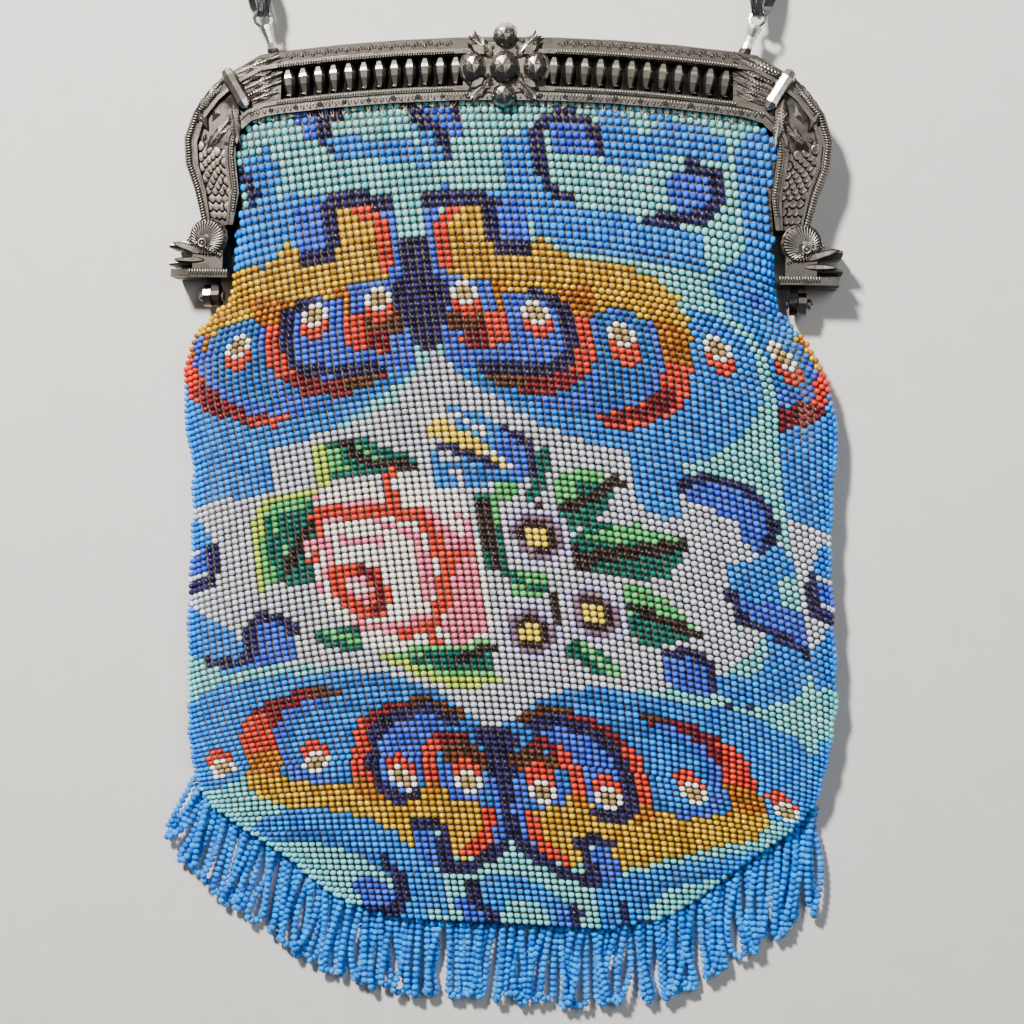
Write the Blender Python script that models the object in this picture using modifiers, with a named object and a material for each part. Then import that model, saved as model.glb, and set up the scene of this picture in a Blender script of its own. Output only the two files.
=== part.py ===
"""Beaded flapper purse with a pierced silver frame and a chain handle.

The purse lies on its back. +X is to the right of someone who looks down at
its front, +Y points towards the chain and +Z points up, away from the floor.
The origin is on the flat back of the back frame, right behind the clasp.
All sizes are in metres.
"""

import math

import bmesh
import bpy
from mathutils import Matrix, Vector

# Frame, seen from the front
FRAME_WIDTH = 0.157
ARM_DROP = 0.046
ARM_WIDTH = 0.012
RAIL_HEIGHT = 0.0153
RAIL_TOP = 0.0075
RAIL_ARC_RADIUS = 0.42
SHOULDER_WIDTH = 0.0238
WINDOW_START = 0.0100
WINDOW_HEIGHT = 0.0073
WINDOW_FALL = 0.0044

# Frame, in thickness
HALF_THICKNESS = 0.0047
PARTING_GAP = 0.0004
FLANGE_THICKNESS = 0.0007

# Spindles of the pierced windows
SPINDLE_PITCH = 0.003725
SPINDLE_WIDTH = 0.0025
SPINDLE_NECK = 0.0011
SPINDLE_DEPTH = 0.0032
SPINDLE_NECK_DEPTH = 0.0014
SPINDLE_ROOT = 0.0004

# Clasp ornament and its push button
BOSS_WIDTH = 0.0225
BOSS_HEIGHT = 0.0135
BOSS_RISE = 0.0003
DOME_WIDTH = 0.0073
DOME_HEIGHT = 0.0082
DOME_RISE = 0.0032
DOME_SKIRT = 0.0002
ORNAMENT_DEPTH = 0.0027
LEAF_ANGLE = math.radians(35)
LEAF_LENGTH = 0.0080
LEAF_WIDTH = 0.0036
LEAF_RISE = 0.0010
BUTTON_CAP_RADIUS = 0.0023
BUTTON_CAP_HEIGHT = 0.0017
BUTTON_STEM_RADIUS = 0.00095
BUTTON_STEM_LENGTH = 0.0065
BUTTON_LIFT = 0.0022
BUTTON_TRAVEL = 0.0012
BORE_END_ROOM = 0.0004

# Shoulder bars, bird heads and hinges at the ends of the arms
BAR_LENGTH = 0.0100
BAR_WIDTH = 0.0029
BAR_RISE = 0.0012
HEAD_RADIUS = 0.0048
HEAD_RISE = 0.0009
BEAK_LENGTH = 0.0098
BEAK_HEIGHT = 0.0042
HINGE_PLATE_WIDTH = 0.0140
HINGE_PLATE_HEIGHT = 0.0019
LUG_WIDTH = 0.0018
LUG_RADIUS = 0.0027
HINGE_DROP = 0.0050
PIN_RADIUS = 0.00075
PIN_HEAD_RADIUS = 0.0013
PIN_HEAD_LENGTH = 0.0012
PIN_RIVET_LENGTH = 0.0005

# Posts and chain
POST_OUTSET = 0.0023
POST_LENGTH = 0.0072
POST_TOP_RADIUS = 0.0019
POST_NECK_RADIUS = 0.0012
POST_FOOT_RADIUS = 0.0018
POST_ROOT = 0.0009
POST_LEAN = math.radians(19.5)
RING_RADIUS = 0.0022
RING_WIRE_RADIUS = 0.00045
LINK_COUNT = 17
LINK_LENGTH = 0.0138
LINK_WIDTH = 0.0066
LINK_BAND = 0.0044
LINK_END_BAND = 0.0017
LINK_THICKNESS = 0.0008
LINK_END_GAP = 0.0003
LINK_TILT = math.radians(30)

# Bag
BAG_WIDTH = 0.1558
BAG_LENGTH = 0.2006
BAG_THICKNESS = 0.0120
CLOTH = 0.0016
MOUTH_THICKNESS = 0.0076
RIM_SHARE = 0.94
BAG_HINGE_GAP = 0.0010

# Fringe
FRINGE_LENGTH = 0.018
FRINGE_STRIPS = 40
FRINGE_HEAD_HEIGHT = 0.0026
FRINGE_THICKNESS = 0.0018
FRINGE_FIRST_ROW = 8
FRINGE_SIDE_TRIM = 0.02

# Gaps and meshing
CLEARANCE = 0.0003
MERGE = 0.00001
ROUND_SIDES = 12
HEAD_SIDES = 16
PIN_SIDES = 10
LINK_SIDES = 12
RING_SIDES = 10
WIRE_SIDES = 5

# Places that follow from the sizes above
WINDOW_END = FRAME_WIDTH / 2 - SHOULDER_WIDTH
FRONT_BASE = HALF_THICKNESS + PARTING_GAP
MID_HEIGHT = HALF_THICKNESS + PARTING_GAP / 2
FRONT_FACE = FRONT_BASE + HALF_THICKNESS
CHAIN_HEIGHT = FRONT_BASE + POST_FOOT_RADIUS

# Rail stations, as shares of the window's end
RAIL_STATIONS = (0.0, 0.22, 0.48, 0.74, 1.0)

# Arm stations from the rail's end to the arm's end: outer x (share of
# SHOULDER_WIDTH), outer drop (share of the way down to ARM_DROP), direction
# inwards (degrees), width (share of RAIL_HEIGHT, then share of ARM_WIDTH)
ARM_STATIONS = (
    (0.222, 0.020, -97.6, 0.99, 0.00),
    (0.495, 0.111, -110.8, 0.50, 0.47),
    (0.723, 0.220, -127.1, 0.20, 0.80),
    (0.908, 0.347, -144.8, 0.00, 1.11),
    (1.000, 0.500, -160.3, 0.00, 1.16),
    (0.980, 0.647, -171.3, 0.00, 1.10),
    (0.878, 0.795, -176.5, 0.00, 0.94),
    (0.776, 1.000, -180.0, 0.00, 0.63),
)

# Section of the front half: share across the band from its outer edge, and
# height as a share of HALF_THICKNESS; the flange has heights of its own
BODY_EDGE = 0.86
FRONT_RELIEF = (
    (0.872, 1.00),
    (0.850, 1.05),
    (0.790, 1.05),
    (0.775, 0.84),
    (0.280, 0.84),
    (0.265, 1.05),
    (0.200, 1.05),
    (0.180, 0.90),
    (0.020, 0.94),
    (0.000, 0.84),
)

# Spindle sections from top to bottom: share of the way down, and how far the
# section has grown from the neck to the full width
SPINDLE_SECTIONS = ((0.0, 0.0), (0.42, 1.0), (1.0, 0.0))

# Outline of a leaf or a faceted bar (shares of its length and width), and its
# sections from the root to the ridge (share of the height, share of the size)
LOZENGE_OUTLINE = (
    (-0.5, 0.0),
    (-0.2, 0.5),
    (0.25, 0.42),
    (0.5, 0.0),
    (0.25, -0.42),
    (-0.2, -0.5),
)
LOZENGE_SECTIONS = ((0.0, 1.0), (0.5, 1.0), (1.0, 0.45))

# Clasp domes: centre x (share of DOME_WIDTH) and y (share of DOME_HEIGHT),
# then width, height and rise (shares of DOME_WIDTH, DOME_HEIGHT, DOME_RISE)
CLASP_DOMES = (
    (0.0, 0.0, 1.0, 1.0, 1.0),
    (-1.01, 0.0, 0.78, 0.94, 0.84),
    (1.01, 0.0, 0.78, 0.94, 0.84),
    (0.0, 0.91, 0.80, 0.71, 0.80),
    (0.0, -0.82, 0.80, 0.71, 0.80),
)

# Full rows of the bag, from the first below the hinges to the bottom: drop
# of the row's ends (share of BAG_LENGTH), left and right edge (shares of
# BAG_WIDTH), arch in the middle (share of BAG_LENGTH), power of the arch,
# thickness (share of BAG_THICKNESS), clear height below (same share)
BAG_ROWS = (
    (0.285, 0.485, 0.476, 0.080, 2.2, 0.93, 0.030),
    (0.334, 0.504, 0.512, 0.070, 2.0, 0.98, 0.027),
    (0.384, 0.502, 0.528, 0.070, 2.0, 1.00, 0.025),
    (0.454, 0.485, 0.524, 0.070, 2.0, 1.00, 0.025),
    (0.534, 0.484, 0.521, 0.070, 2.0, 1.00, 0.025),
    (0.624, 0.487, 0.530, 0.070, 2.0, 1.00, 0.025),
    (0.713, 0.485, 0.538, 0.060, 2.0, 1.00, 0.025),
    (0.783, 0.482, 0.527, 0.045, 2.0, 0.94, 0.025),
    (0.833, 0.471, 0.512, 0.020, 2.0, 0.85, 0.027),
    (0.868, 0.446, 0.475, 0.000, 2.0, 0.75, 0.030),
    (0.898, 0.388, 0.425, -0.015, 2.0, 0.64, 0.035),
    (0.933, 0.315, 0.370, -0.030, 2.5, 0.52, 0.040),
    (0.965, 0.263, 0.318, -0.0275, 3.5, 0.43, 0.045),
    (0.975, 0.240, 0.299, -0.0250, 4.0, 0.39, 0.050),
)

# Arm stations, counted from the arm's end, that the bag's rim passes through
RIM_STATIONS = (-1, -2, -4, -5, -7)

# How the points of a row close up towards its sides, how flat the bag is
# across, and the share of the rim over which the mouth opens to full width
BAG_SIDE_POWER = 1.15
BAG_BULGE_POWER = 3
RIM_ROUNDING = 0.13

# Short rows between the rim and the first full row: blend towards that row
# and thickness as a share of BAG_THICKNESS
BAG_UPPER_ROWS = (
    (0.33, 0.66),
    (0.66, 0.80),
)

# Folds pressed into the front: start and end (shares of BAG_WIDTH from the
# clasp's line and of BAG_LENGTH from the rim), depth and width in CLOTHs
BAG_FOLDS = (
    (0.440, 0.245, 0.475, 0.380, 1.0, 2.6),
    (-0.425, 0.240, -0.440, 0.330, 0.5, 2.4),
    (0.300, 0.905, 0.400, 0.880, 0.6, 2.2),
)

# Fringe: place along the bag's bottom edge from the left (share), length
# (share of FRINGE_LENGTH) and lean outwards to the right (degrees)
FRINGE_ROWS = (
    (0.00, 0.86, -20),
    (0.08, 1.00, -14),
    (0.22, 1.05, -5),
    (0.50, 1.05, 0),
    (0.75, 1.10, 2),
    (0.92, 1.30, 0),
    (1.00, 1.38, -4),
)

# Each strip's two stretches: share of its length and of its fall to the
# floor, and how far its end is levelled
STRIP_STRETCHES = ((0.35, 0.7), (0.65, 0.3))
STRIP_LEVELLING = 0.6

# Share of its height over the floor that the chain keeps from one ring to the
# next, and the number of rings over which it comes down from the posts
CHAIN_FALL = 0.35
CHAIN_FALL_RINGS = 3


def clear_scene():
    for item in list(bpy.data.objects):
        bpy.data.objects.remove(item, do_unlink=True)


def new_collection(name):
    collection = bpy.data.collections.new(name)
    bpy.context.scene.collection.children.link(collection)
    return collection


def material(name, colour, roughness, metallic):
    made = bpy.data.materials.new(name)
    made.use_nodes = True
    shader = made.node_tree.nodes["Principled BSDF"]
    shader.inputs["Base Color"].default_value = (*colour, 1.0)
    shader.inputs["Roughness"].default_value = roughness
    shader.inputs["Metallic"].default_value = metallic
    return made


def place(item, collection):
    """Move an object into one collection."""
    for owner in list(item.users_collection):
        owner.objects.unlink(item)
    collection.objects.link(item)
    return item


def tool(item, collection):
    """Mark an object as a shape that another object is fused with or cut by."""
    place(item, collection)
    item.hide_render = True
    item.display_type = "WIRE"
    return item


def combine(target, operation, collection):
    modifier = target.modifiers.new(collection.name, "BOOLEAN")
    modifier.operation = operation
    modifier.operand_type = "COLLECTION"
    modifier.collection = collection
    modifier.solver = "EXACT"


def lerp(start, end, share):
    return start + (end - start) * share


def table_value(rows, place_share, column):
    """Read one column of a table at a share between its rows."""
    for low, high in zip(rows, rows[1:]):
        if place_share <= high[0]:
            share = (place_share - low[0]) / (high[0] - low[0])
            return lerp(low[column], high[column], share)
    return rows[-1][column]


def loft(name, sections, ring=False):
    """Skin equal loops of points into one closed body."""
    mesh = bpy.data.meshes.new(name)
    shape = bmesh.new()
    loops = [[shape.verts.new(point) for point in section] for section in sections]
    pairs = list(zip(loops, loops[1:]))
    if ring:
        pairs.append((loops[-1], loops[0]))
    for near, far in pairs:
        for i in range(len(near)):
            j = (i + 1) % len(near)
            shape.faces.new((near[i], near[j], far[j], far[i]))
    if not ring:
        shape.faces.new(loops[0])
        shape.faces.new(loops[-1])
    bmesh.ops.recalc_face_normals(shape, faces=shape.faces)
    shape.to_mesh(mesh)
    shape.free()
    return bpy.data.objects.new(name, mesh)


def turned(name, profile, matrix, sides=ROUND_SIDES):
    """Turn a profile of (radius, height) points about its own Z axis."""
    mesh = bpy.data.meshes.new(name)
    points = [(radius, 0.0, height) for radius, height in profile]
    edges = [(i, i + 1) for i in range(len(points) - 1)]
    mesh.from_pydata(points, edges, [])
    item = bpy.data.objects.new(name, mesh)
    screw = item.modifiers.new("turn", "SCREW")
    screw.steps = sides
    screw.render_steps = sides
    screw.use_merge_vertices = True
    screw.merge_threshold = MERGE
    item.matrix_world = matrix
    return item


def box(name, low, high):
    """A box between two corners."""
    bpy.ops.mesh.primitive_cube_add(size=1)
    item = bpy.context.object
    item.name = name
    size = Vector(high) - Vector(low)
    centre = (Vector(high) + Vector(low)) / 2
    item.data.transform(Matrix.Translation(centre) @ Matrix.Diagonal((*size, 1.0)))
    return item


def axis_matrix(origin, axis, side):
    """A frame whose Z runs along one direction and whose X is nearest to another."""
    z = Vector(axis).normalized()
    y = z.cross(Vector(side)).normalized()
    x = y.cross(z)
    turn = Matrix((x, y, z)).transposed()
    return Matrix.Translation(origin) @ turn.to_4x4()


def rail_point(x, level):
    """A point of the rail: its place along X and its level across the band."""
    return Vector((x, level - x * x / (2 * RAIL_ARC_RADIUS)))


def half_stations():
    """Outer and inner points of the right half, from the middle to the arm's end."""
    stations = []
    for share in RAIL_STATIONS:
        x = share * WINDOW_END
        stations.append((rail_point(x, RAIL_TOP), rail_point(x, RAIL_TOP - RAIL_HEIGHT)))
    rail_end = rail_point(WINDOW_END, RAIL_TOP)
    for outer_x, outer_drop, angle, rail_share, arm_share in ARM_STATIONS:
        x = rail_end.x + outer_x * SHOULDER_WIDTH
        outer = Vector((x, lerp(rail_end.y, RAIL_TOP - ARM_DROP, outer_drop)))
        width = rail_share * RAIL_HEIGHT + arm_share * ARM_WIDTH
        turn = math.radians(angle)
        inward = Vector((math.cos(turn), math.sin(turn)))
        stations.append((outer, outer + width * inward))
    return stations


def top_edge(x):
    """The point of the frame's top edge at one place along X."""
    outline = [outer for outer, inner in half_stations()]
    for near, far in zip(outline, outline[1:]):
        if x <= far.x:
            break
    return near.lerp(far, (x - near.x) / (far.x - near.x))


def flip(point):
    return Vector((-point.x, point.y))


def frame_body(name, section):
    """Loft one frame half's section round the rail and both arms."""
    right = half_stations()
    left = [(flip(outer), flip(inner)) for outer, inner in reversed(right[1:])]
    sections = []
    for outer, inner in left + right:
        loop = [(*outer.lerp(inner, share), height) for share, height in section]
        sections.append(loop)
    return loft(name, sections)


def window_cutter(name, side, low, high):
    """The pierced window of one side, as a strip along the rail."""
    top = RAIL_TOP - WINDOW_FALL
    bottom = top - WINDOW_HEIGHT
    sections = []
    for step in range(len(RAIL_STATIONS)):
        share = step / (len(RAIL_STATIONS) - 1)
        x = side * lerp(WINDOW_START, WINDOW_END, share)
        upper = rail_point(x, top)
        lower = rail_point(x, bottom)
        sections.append([(*upper, low), (*upper, high), (*lower, high), (*lower, low)])
    return loft(name, sections)


def spindle(name, x, height):
    """One faceted spindle across the window, thick in the middle."""
    top = RAIL_TOP - WINDOW_FALL + SPINDLE_ROOT
    bottom = RAIL_TOP - WINDOW_FALL - WINDOW_HEIGHT - SPINDLE_ROOT
    sections = []
    for share, growth in SPINDLE_SECTIONS:
        centre = rail_point(x, lerp(top, bottom, share))
        width = lerp(SPINDLE_NECK, SPINDLE_WIDTH, growth)
        depth = lerp(SPINDLE_NECK_DEPTH, SPINDLE_DEPTH, growth)
        sections.append([
            (centre.x - width / 2, centre.y, height),
            (centre.x, centre.y, height + depth / 2),
            (centre.x + width / 2, centre.y, height),
            (centre.x, centre.y, height - depth / 2),
        ])
    return loft(name, sections)


def add_windows(frame_name, base, fused, cuts):
    """Windows and spindles of one frame half."""
    count = max(1, round((WINDOW_END - WINDOW_START) / SPINDLE_PITCH))
    pitch = (WINDOW_END - WINDOW_START) / count
    for side in (-1, 1):
        low = base - CLEARANCE
        high = base + HALF_THICKNESS + 2 * CLEARANCE
        tool(window_cutter(f"{frame_name}_window_{side:+d}", side, low, high), cuts)
        for i in range(count):
            x = side * (WINDOW_START + pitch * (i + 0.5))
            height = base + HALF_THICKNESS / 2
            tool(spindle(f"{frame_name}_spindle_{side:+d}_{i:02d}", x, height), fused)


def dome(name, x, y, base, width, height, rise):
    """A low oval dome on the front of the frame."""
    quarter = [math.radians(90 * step / 3) for step in range(4)]
    profile = [(math.sin(turn), math.cos(turn)) for turn in quarter]
    profile += [(1.0, -DOME_SKIRT / rise), (0.0, -DOME_SKIRT / rise)]
    size = Matrix.Diagonal((width / 2, height / 2, rise, 1.0))
    return turned(name, profile, Matrix.Translation((x, y, base)) @ size)


def pyramid(name, centre, angle, length, width, low, high):
    """A long lozenge with a raised ridge, such as a leaf or a faceted bar."""
    turn = Matrix.Rotation(angle, 2)
    sections = []
    for rise, size in LOZENGE_SECTIONS:
        height = lerp(low, high, rise)
        loop = []
        for along, across in LOZENGE_OUTLINE:
            point = turn @ Vector((along * length * size, across * width * size))
            loop.append((centre[0] + point.x, centre[1] + point.y, height))
        sections.append(loop)
    return loft(name, sections)


def add_clasp_ornament(fused):
    """Boss, five domes and four leaves around the clasp."""
    top = FRONT_FACE + BOSS_RISE
    root = FRONT_FACE - ORNAMENT_DEPTH
    profile = [(0.0, top), (0.94, top), (1.0, FRONT_FACE), (1.0, root), (0.0, root)]
    size = Matrix.Diagonal((BOSS_WIDTH / 2, BOSS_HEIGHT / 2, 1.0, 1.0))
    tool(turned("clasp_boss", profile, size, HEAD_SIDES), fused)
    for i, (x, y, width, height, rise) in enumerate(CLASP_DOMES):
        item = dome(
            f"clasp_dome_{i}",
            x * DOME_WIDTH,
            y * DOME_HEIGHT,
            top + DOME_SKIRT / 2,
            width * DOME_WIDTH,
            height * DOME_HEIGHT,
            rise * DOME_RISE,
        )
        tool(item, fused)
    reach = (DOME_WIDTH + LEAF_LENGTH) / 2
    for i in range(4):
        side = 1 - 2 * (i % 2)
        up = 1 - 2 * (i // 2)
        x = side * math.cos(LEAF_ANGLE)
        y = up * math.sin(LEAF_ANGLE)
        leaf = pyramid(
            f"clasp_leaf_{i}",
            (x * reach, y * reach * 0.9),
            math.atan2(y, x),
            LEAF_LENGTH,
            LEAF_WIDTH,
            root,
            top + LEAF_RISE,
        )
        tool(leaf, fused)


def add_shoulder_bars(fused):
    """A raised faceted bar across each shoulder of the front."""
    outer, inner = half_stations()[len(RAIL_STATIONS) + 1]
    centre = outer.lerp(inner, 0.45)
    across = outer - inner
    for side in (-1, 1):
        angle = math.atan2(across.y, side * across.x)
        bar = pyramid(
            f"shoulder_bar_{side:+d}",
            (side * centre.x, centre.y),
            angle,
            BAR_LENGTH,
            BAR_WIDTH,
            FRONT_FACE - ORNAMENT_DEPTH,
            FRONT_FACE + BAR_RISE,
        )
        tool(bar, fused)


def head_centre():
    """Centre of the right bird's head, at the end of the arm."""
    outer, inner = half_stations()[-1]
    middle = outer.lerp(inner, 0.2)
    return Vector((middle.x, middle.y - HEAD_RADIUS * 0.65))


def hinge_top():
    """Level of the hinge plate's upper edge."""
    return head_centre().y - HEAD_RADIUS * 1.62


def hinge_axis():
    """Centre of the right hinge: X of the face between its lugs, then Y and Z."""
    x = head_centre().x - CLEARANCE
    y = hinge_top() - HINGE_PLATE_HEIGHT - HINGE_DROP + LUG_WIDTH / 2
    return Vector((x, y, MID_HEIGHT))


def lug_faces(is_front):
    """Inner and outer face of one half's lug, for the right side."""
    middle = hinge_axis().x
    if is_front:
        return middle - CLEARANCE / 2 - LUG_WIDTH, middle - CLEARANCE / 2
    return middle + CLEARANCE / 2, middle + CLEARANCE / 2 + LUG_WIDTH


def beak(name, side, root, tip, heights, low, high):
    """One half of a bird's beak, tapering outwards."""
    sections = []
    for point, height in zip((root, tip), heights):
        sections.append([
            (side * point.x, point.y + height / 2, low),
            (side * point.x, point.y + height / 2, high - height / 6),
            (side * point.x, point.y, high),
            (side * point.x, point.y - height / 2, high - height / 6),
            (side * point.x, point.y - height / 2, low),
        ])
    return loft(name, sections)


def add_head(frame_name, side, is_front, fused):
    """Bird's head, beak, hinge plate and lug at the end of one arm."""
    low = FRONT_BASE if is_front else 0.0
    high = low + HALF_THICKNESS
    rise = HEAD_RISE if is_front else 0.0
    centre = head_centre()
    tag = f"{frame_name}_{side:+d}"
    profile = [
        (0.0, high + rise),
        (0.55 * HEAD_RADIUS, high + rise * 0.8),
        (HEAD_RADIUS, high - rise * 0.6),
        (HEAD_RADIUS, low),
        (0.0, low),
    ]
    if not is_front:
        profile = [(0.0, high), (HEAD_RADIUS, high), (HEAD_RADIUS, low), (0.0, low)]
    spot = Matrix.Translation((side * centre.x, centre.y, 0))
    tool(turned(f"{tag}_head", profile, spot, HEAD_SIDES), fused)
    add_beak(tag, side, low + CLEARANCE, high - CLEARANCE, fused)
    add_hinge_plate(tag, side, low, high, fused)
    add_lug(tag, side, is_front, hinge_top() - HINGE_PLATE_HEIGHT, fused)


def add_beak(tag, side, low, high, fused):
    """The upper and the lower half of a beak, the lower one a little thinner."""
    centre = head_centre()
    root = Vector((centre.x + HEAD_RADIUS * 0.3, centre.y - BEAK_HEIGHT * 0.4))
    tip = Vector((centre.x + BEAK_LENGTH, centre.y - BEAK_HEIGHT * 0.48))
    heights = (BEAK_HEIGHT, BEAK_HEIGHT * 0.25)
    tool(beak(f"{tag}_beak", side, root, tip, heights, low, high), fused)
    drop = Vector((0, -BEAK_HEIGHT * 0.95))
    heights = (BEAK_HEIGHT * 0.42, BEAK_HEIGHT * 0.2)
    lower = beak(
        f"{tag}_lower_beak", side, root + drop, tip + drop * 1.1, heights, low, high - CLEARANCE
    )
    tool(lower, fused)


def add_hinge_plate(tag, side, low, high, fused):
    """The flat plate under a head and the short neck between them."""
    centre = head_centre()
    top = hinge_top()
    start = centre.x - HEAD_RADIUS
    ends = sorted((side * start, side * (start + HINGE_PLATE_WIDTH)))
    plate_low = (ends[0], top - HINGE_PLATE_HEIGHT, low + CLEARANCE / 3)
    plate_high = (ends[1], top, high - CLEARANCE / 2)
    tool(box(f"{tag}_hinge_plate", plate_low, plate_high), fused)
    ends = [side * (centre.x - HEAD_RADIUS * 0.75), side * (centre.x + HEAD_RADIUS * 0.8)]
    ends.sort()
    neck_low = (ends[0], top - HINGE_PLATE_HEIGHT / 2, low + CLEARANCE / 2)
    neck_high = (ends[1], centre.y - HEAD_RADIUS * 0.5, high - CLEARANCE)
    tool(box(f"{tag}_neck", neck_low, neck_high), fused)


def add_lug(tag, side, is_front, plate_bottom, fused):
    """A round ear with its stem, one for each frame half on each hinge."""
    axis = hinge_axis()
    faces = sorted(side * x for x in lug_faces(is_front))
    if is_front:
        stem = (FRONT_BASE, axis.z + LUG_RADIUS * 0.9)
    else:
        stem = (axis.z - LUG_RADIUS * 0.9, HALF_THICKNESS)
    low = (faces[0], axis.y, stem[0])
    high = (faces[1], plate_bottom + HINGE_PLATE_HEIGHT / 3, stem[1])
    tool(box(f"{tag}_lug_stem", low, high), fused)
    overlap = CLEARANCE / 10
    thick = faces[1] - faces[0] + overlap
    profile = [(0.0, thick), (LUG_RADIUS, thick), (LUG_RADIUS, 0.0), (0.0, 0.0)]
    start = (faces[0] - overlap / 2, axis.y, axis.z)
    tool(turned(f"{tag}_lug", profile, axis_matrix(start, (1, 0, 0), (0, 1, 0))), fused)


def add_pin_holes(frame_name, cuts):
    """Holes through both lugs, for the hinge pins."""
    axis = hinge_axis()
    radius = PIN_RADIUS + CLEARANCE
    reach = 2 * LUG_WIDTH
    profile = [(0.0, 2 * reach), (radius, 2 * reach), (radius, 0.0), (0.0, 0.0)]
    for side in (-1, 1):
        start = (side * axis.x - reach, axis.y, axis.z)
        way = axis_matrix(start, (1, 0, 0), (0, 1, 0))
        tool(turned(f"{frame_name}_pin_hole_{side:+d}", profile, way), cuts)


def hinge_pin(name, side):
    """A riveted pin with a head on its outer end."""
    axis = hinge_axis()
    inner = lug_faces(True)[0] - CLEARANCE
    outer = lug_faces(False)[1] + CLEARANCE
    profile = [
        (0.0, outer + PIN_HEAD_LENGTH - inner),
        (PIN_HEAD_RADIUS * 0.7, outer + PIN_HEAD_LENGTH - inner),
        (PIN_HEAD_RADIUS, outer + PIN_HEAD_LENGTH * 0.6 - inner),
        (PIN_HEAD_RADIUS, outer - inner),
        (PIN_RADIUS, outer - inner),
        (PIN_RADIUS, 0.0),
        (PIN_HEAD_RADIUS, 0.0),
        (PIN_HEAD_RADIUS, -PIN_RIVET_LENGTH),
        (0.0, -PIN_RIVET_LENGTH),
    ]
    start = (side * inner, axis.y, axis.z)
    return turned(name, profile, axis_matrix(start, (side, 0, 0), (0, 1, 0)), PIN_SIDES)


def post_frame(side):
    """Foot of a post on the rail's top edge and the direction that it leans in."""
    foot = top_edge(WINDOW_END + POST_OUTSET)
    lean = Vector((math.sin(POST_LEAN), math.cos(POST_LEAN)))
    return Vector((side * foot.x, foot.y, CHAIN_HEIGHT)), Vector((side * lean.x, lean.y, 0))


def eyelet_centre(side):
    foot, lean = post_frame(side)
    return foot + lean * (POST_LENGTH + RING_RADIUS)


def ring_body(name, centre, along):
    """A plain wire ring that holds two links, lying as steeply as they do."""
    hole = link_axes(along)[1]
    bpy.ops.mesh.primitive_torus_add(
        major_segments=RING_SIDES,
        minor_segments=WIRE_SIDES,
        major_radius=RING_RADIUS,
        minor_radius=RING_WIRE_RADIUS,
    )
    item = bpy.context.object
    item.name = name
    item.data.name = name
    item.data.transform(axis_matrix(centre, hole.cross(along), along))
    return item


def add_posts(fused):
    """Two trumpet posts on the rail's top edge, each with a wire eyelet."""
    for side in (-1, 1):
        foot, lean = post_frame(side)
        profile = [
            (0.0, POST_LENGTH),
            (POST_TOP_RADIUS, POST_LENGTH),
            (POST_TOP_RADIUS * 0.95, POST_LENGTH * 0.9),
            (POST_NECK_RADIUS * 1.12, POST_LENGTH * 0.62),
            (POST_NECK_RADIUS, POST_LENGTH * 0.4),
            (POST_FOOT_RADIUS * 0.8, POST_LENGTH * 0.12),
            (POST_FOOT_RADIUS, -POST_ROOT),
            (0.0, -POST_ROOT),
        ]
        way = axis_matrix(foot, lean, (0, 0, 1))
        tool(turned(f"post_{side:+d}", profile, way, PIN_SIDES), fused)
        chain_way = lean * -side
        tool(ring_body(f"eyelet_{side:+d}", eyelet_centre(side), chain_way), fused)


def button_height():
    """Level of the button's axis, in the middle of the front half."""
    return FRONT_BASE + BUTTON_STEM_RADIUS + 2.3 * CLEARANCE


def button_way():
    """The button's own frame: its Z runs out of the rail's top edge."""
    return axis_matrix((0, RAIL_TOP, button_height()), (0, 1, 0), (1, 0, 0))


def button_bore(name):
    """The blind hole in the rail's top edge that the button slides in."""
    radius = BUTTON_STEM_RADIUS + CLEARANCE
    depth = BUTTON_STEM_LENGTH - BUTTON_LIFT + BUTTON_TRAVEL + BORE_END_ROOM
    top = 2 * CLEARANCE
    profile = [(0.0, top), (radius, top), (radius, -depth), (0.0, -depth)]
    return turned(name, profile, button_way())


def clasp_button():
    """The domed button behind the top dome; its origin is on its own axis."""
    stem_bottom = BUTTON_LIFT - BUTTON_STEM_LENGTH
    cap_top = BUTTON_LIFT + BUTTON_CAP_HEIGHT
    profile = [
        (0.0, cap_top),
        (BUTTON_CAP_RADIUS * 0.6, cap_top - BUTTON_CAP_HEIGHT * 0.18),
        (BUTTON_CAP_RADIUS, cap_top - BUTTON_CAP_HEIGHT * 0.6),
        (BUTTON_CAP_RADIUS, BUTTON_LIFT),
        (BUTTON_STEM_RADIUS, BUTTON_LIFT),
        (BUTTON_STEM_RADIUS, stem_bottom),
        (0.0, stem_bottom),
    ]
    return turned("clasp_button", profile, button_way())


def front_frame():
    flange_low = FRONT_FACE - FLANGE_THICKNESS
    section = [(0.0, FRONT_BASE), (BODY_EDGE, FRONT_BASE), (BODY_EDGE, flange_low)]
    section += [(1.0, flange_low), (1.0, FRONT_FACE)]
    section += [(share, FRONT_BASE + height * HALF_THICKNESS) for share, height in FRONT_RELIEF]
    frame = frame_body("front_frame", section)
    cuts = new_collection("front_frame_windows")
    fused = new_collection("front_frame_soldered")
    bores = new_collection("front_frame_bores")
    add_windows("front", FRONT_BASE, fused, cuts)
    add_clasp_ornament(fused)
    add_shoulder_bars(fused)
    for side in (-1, 1):
        add_head("front", side, True, fused)
    add_posts(fused)
    add_pin_holes("front", bores)
    tool(button_bore("button_bore"), bores)
    combine(frame, "DIFFERENCE", cuts)
    combine(frame, "UNION", fused)
    combine(frame, "DIFFERENCE", bores)
    return frame


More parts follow.
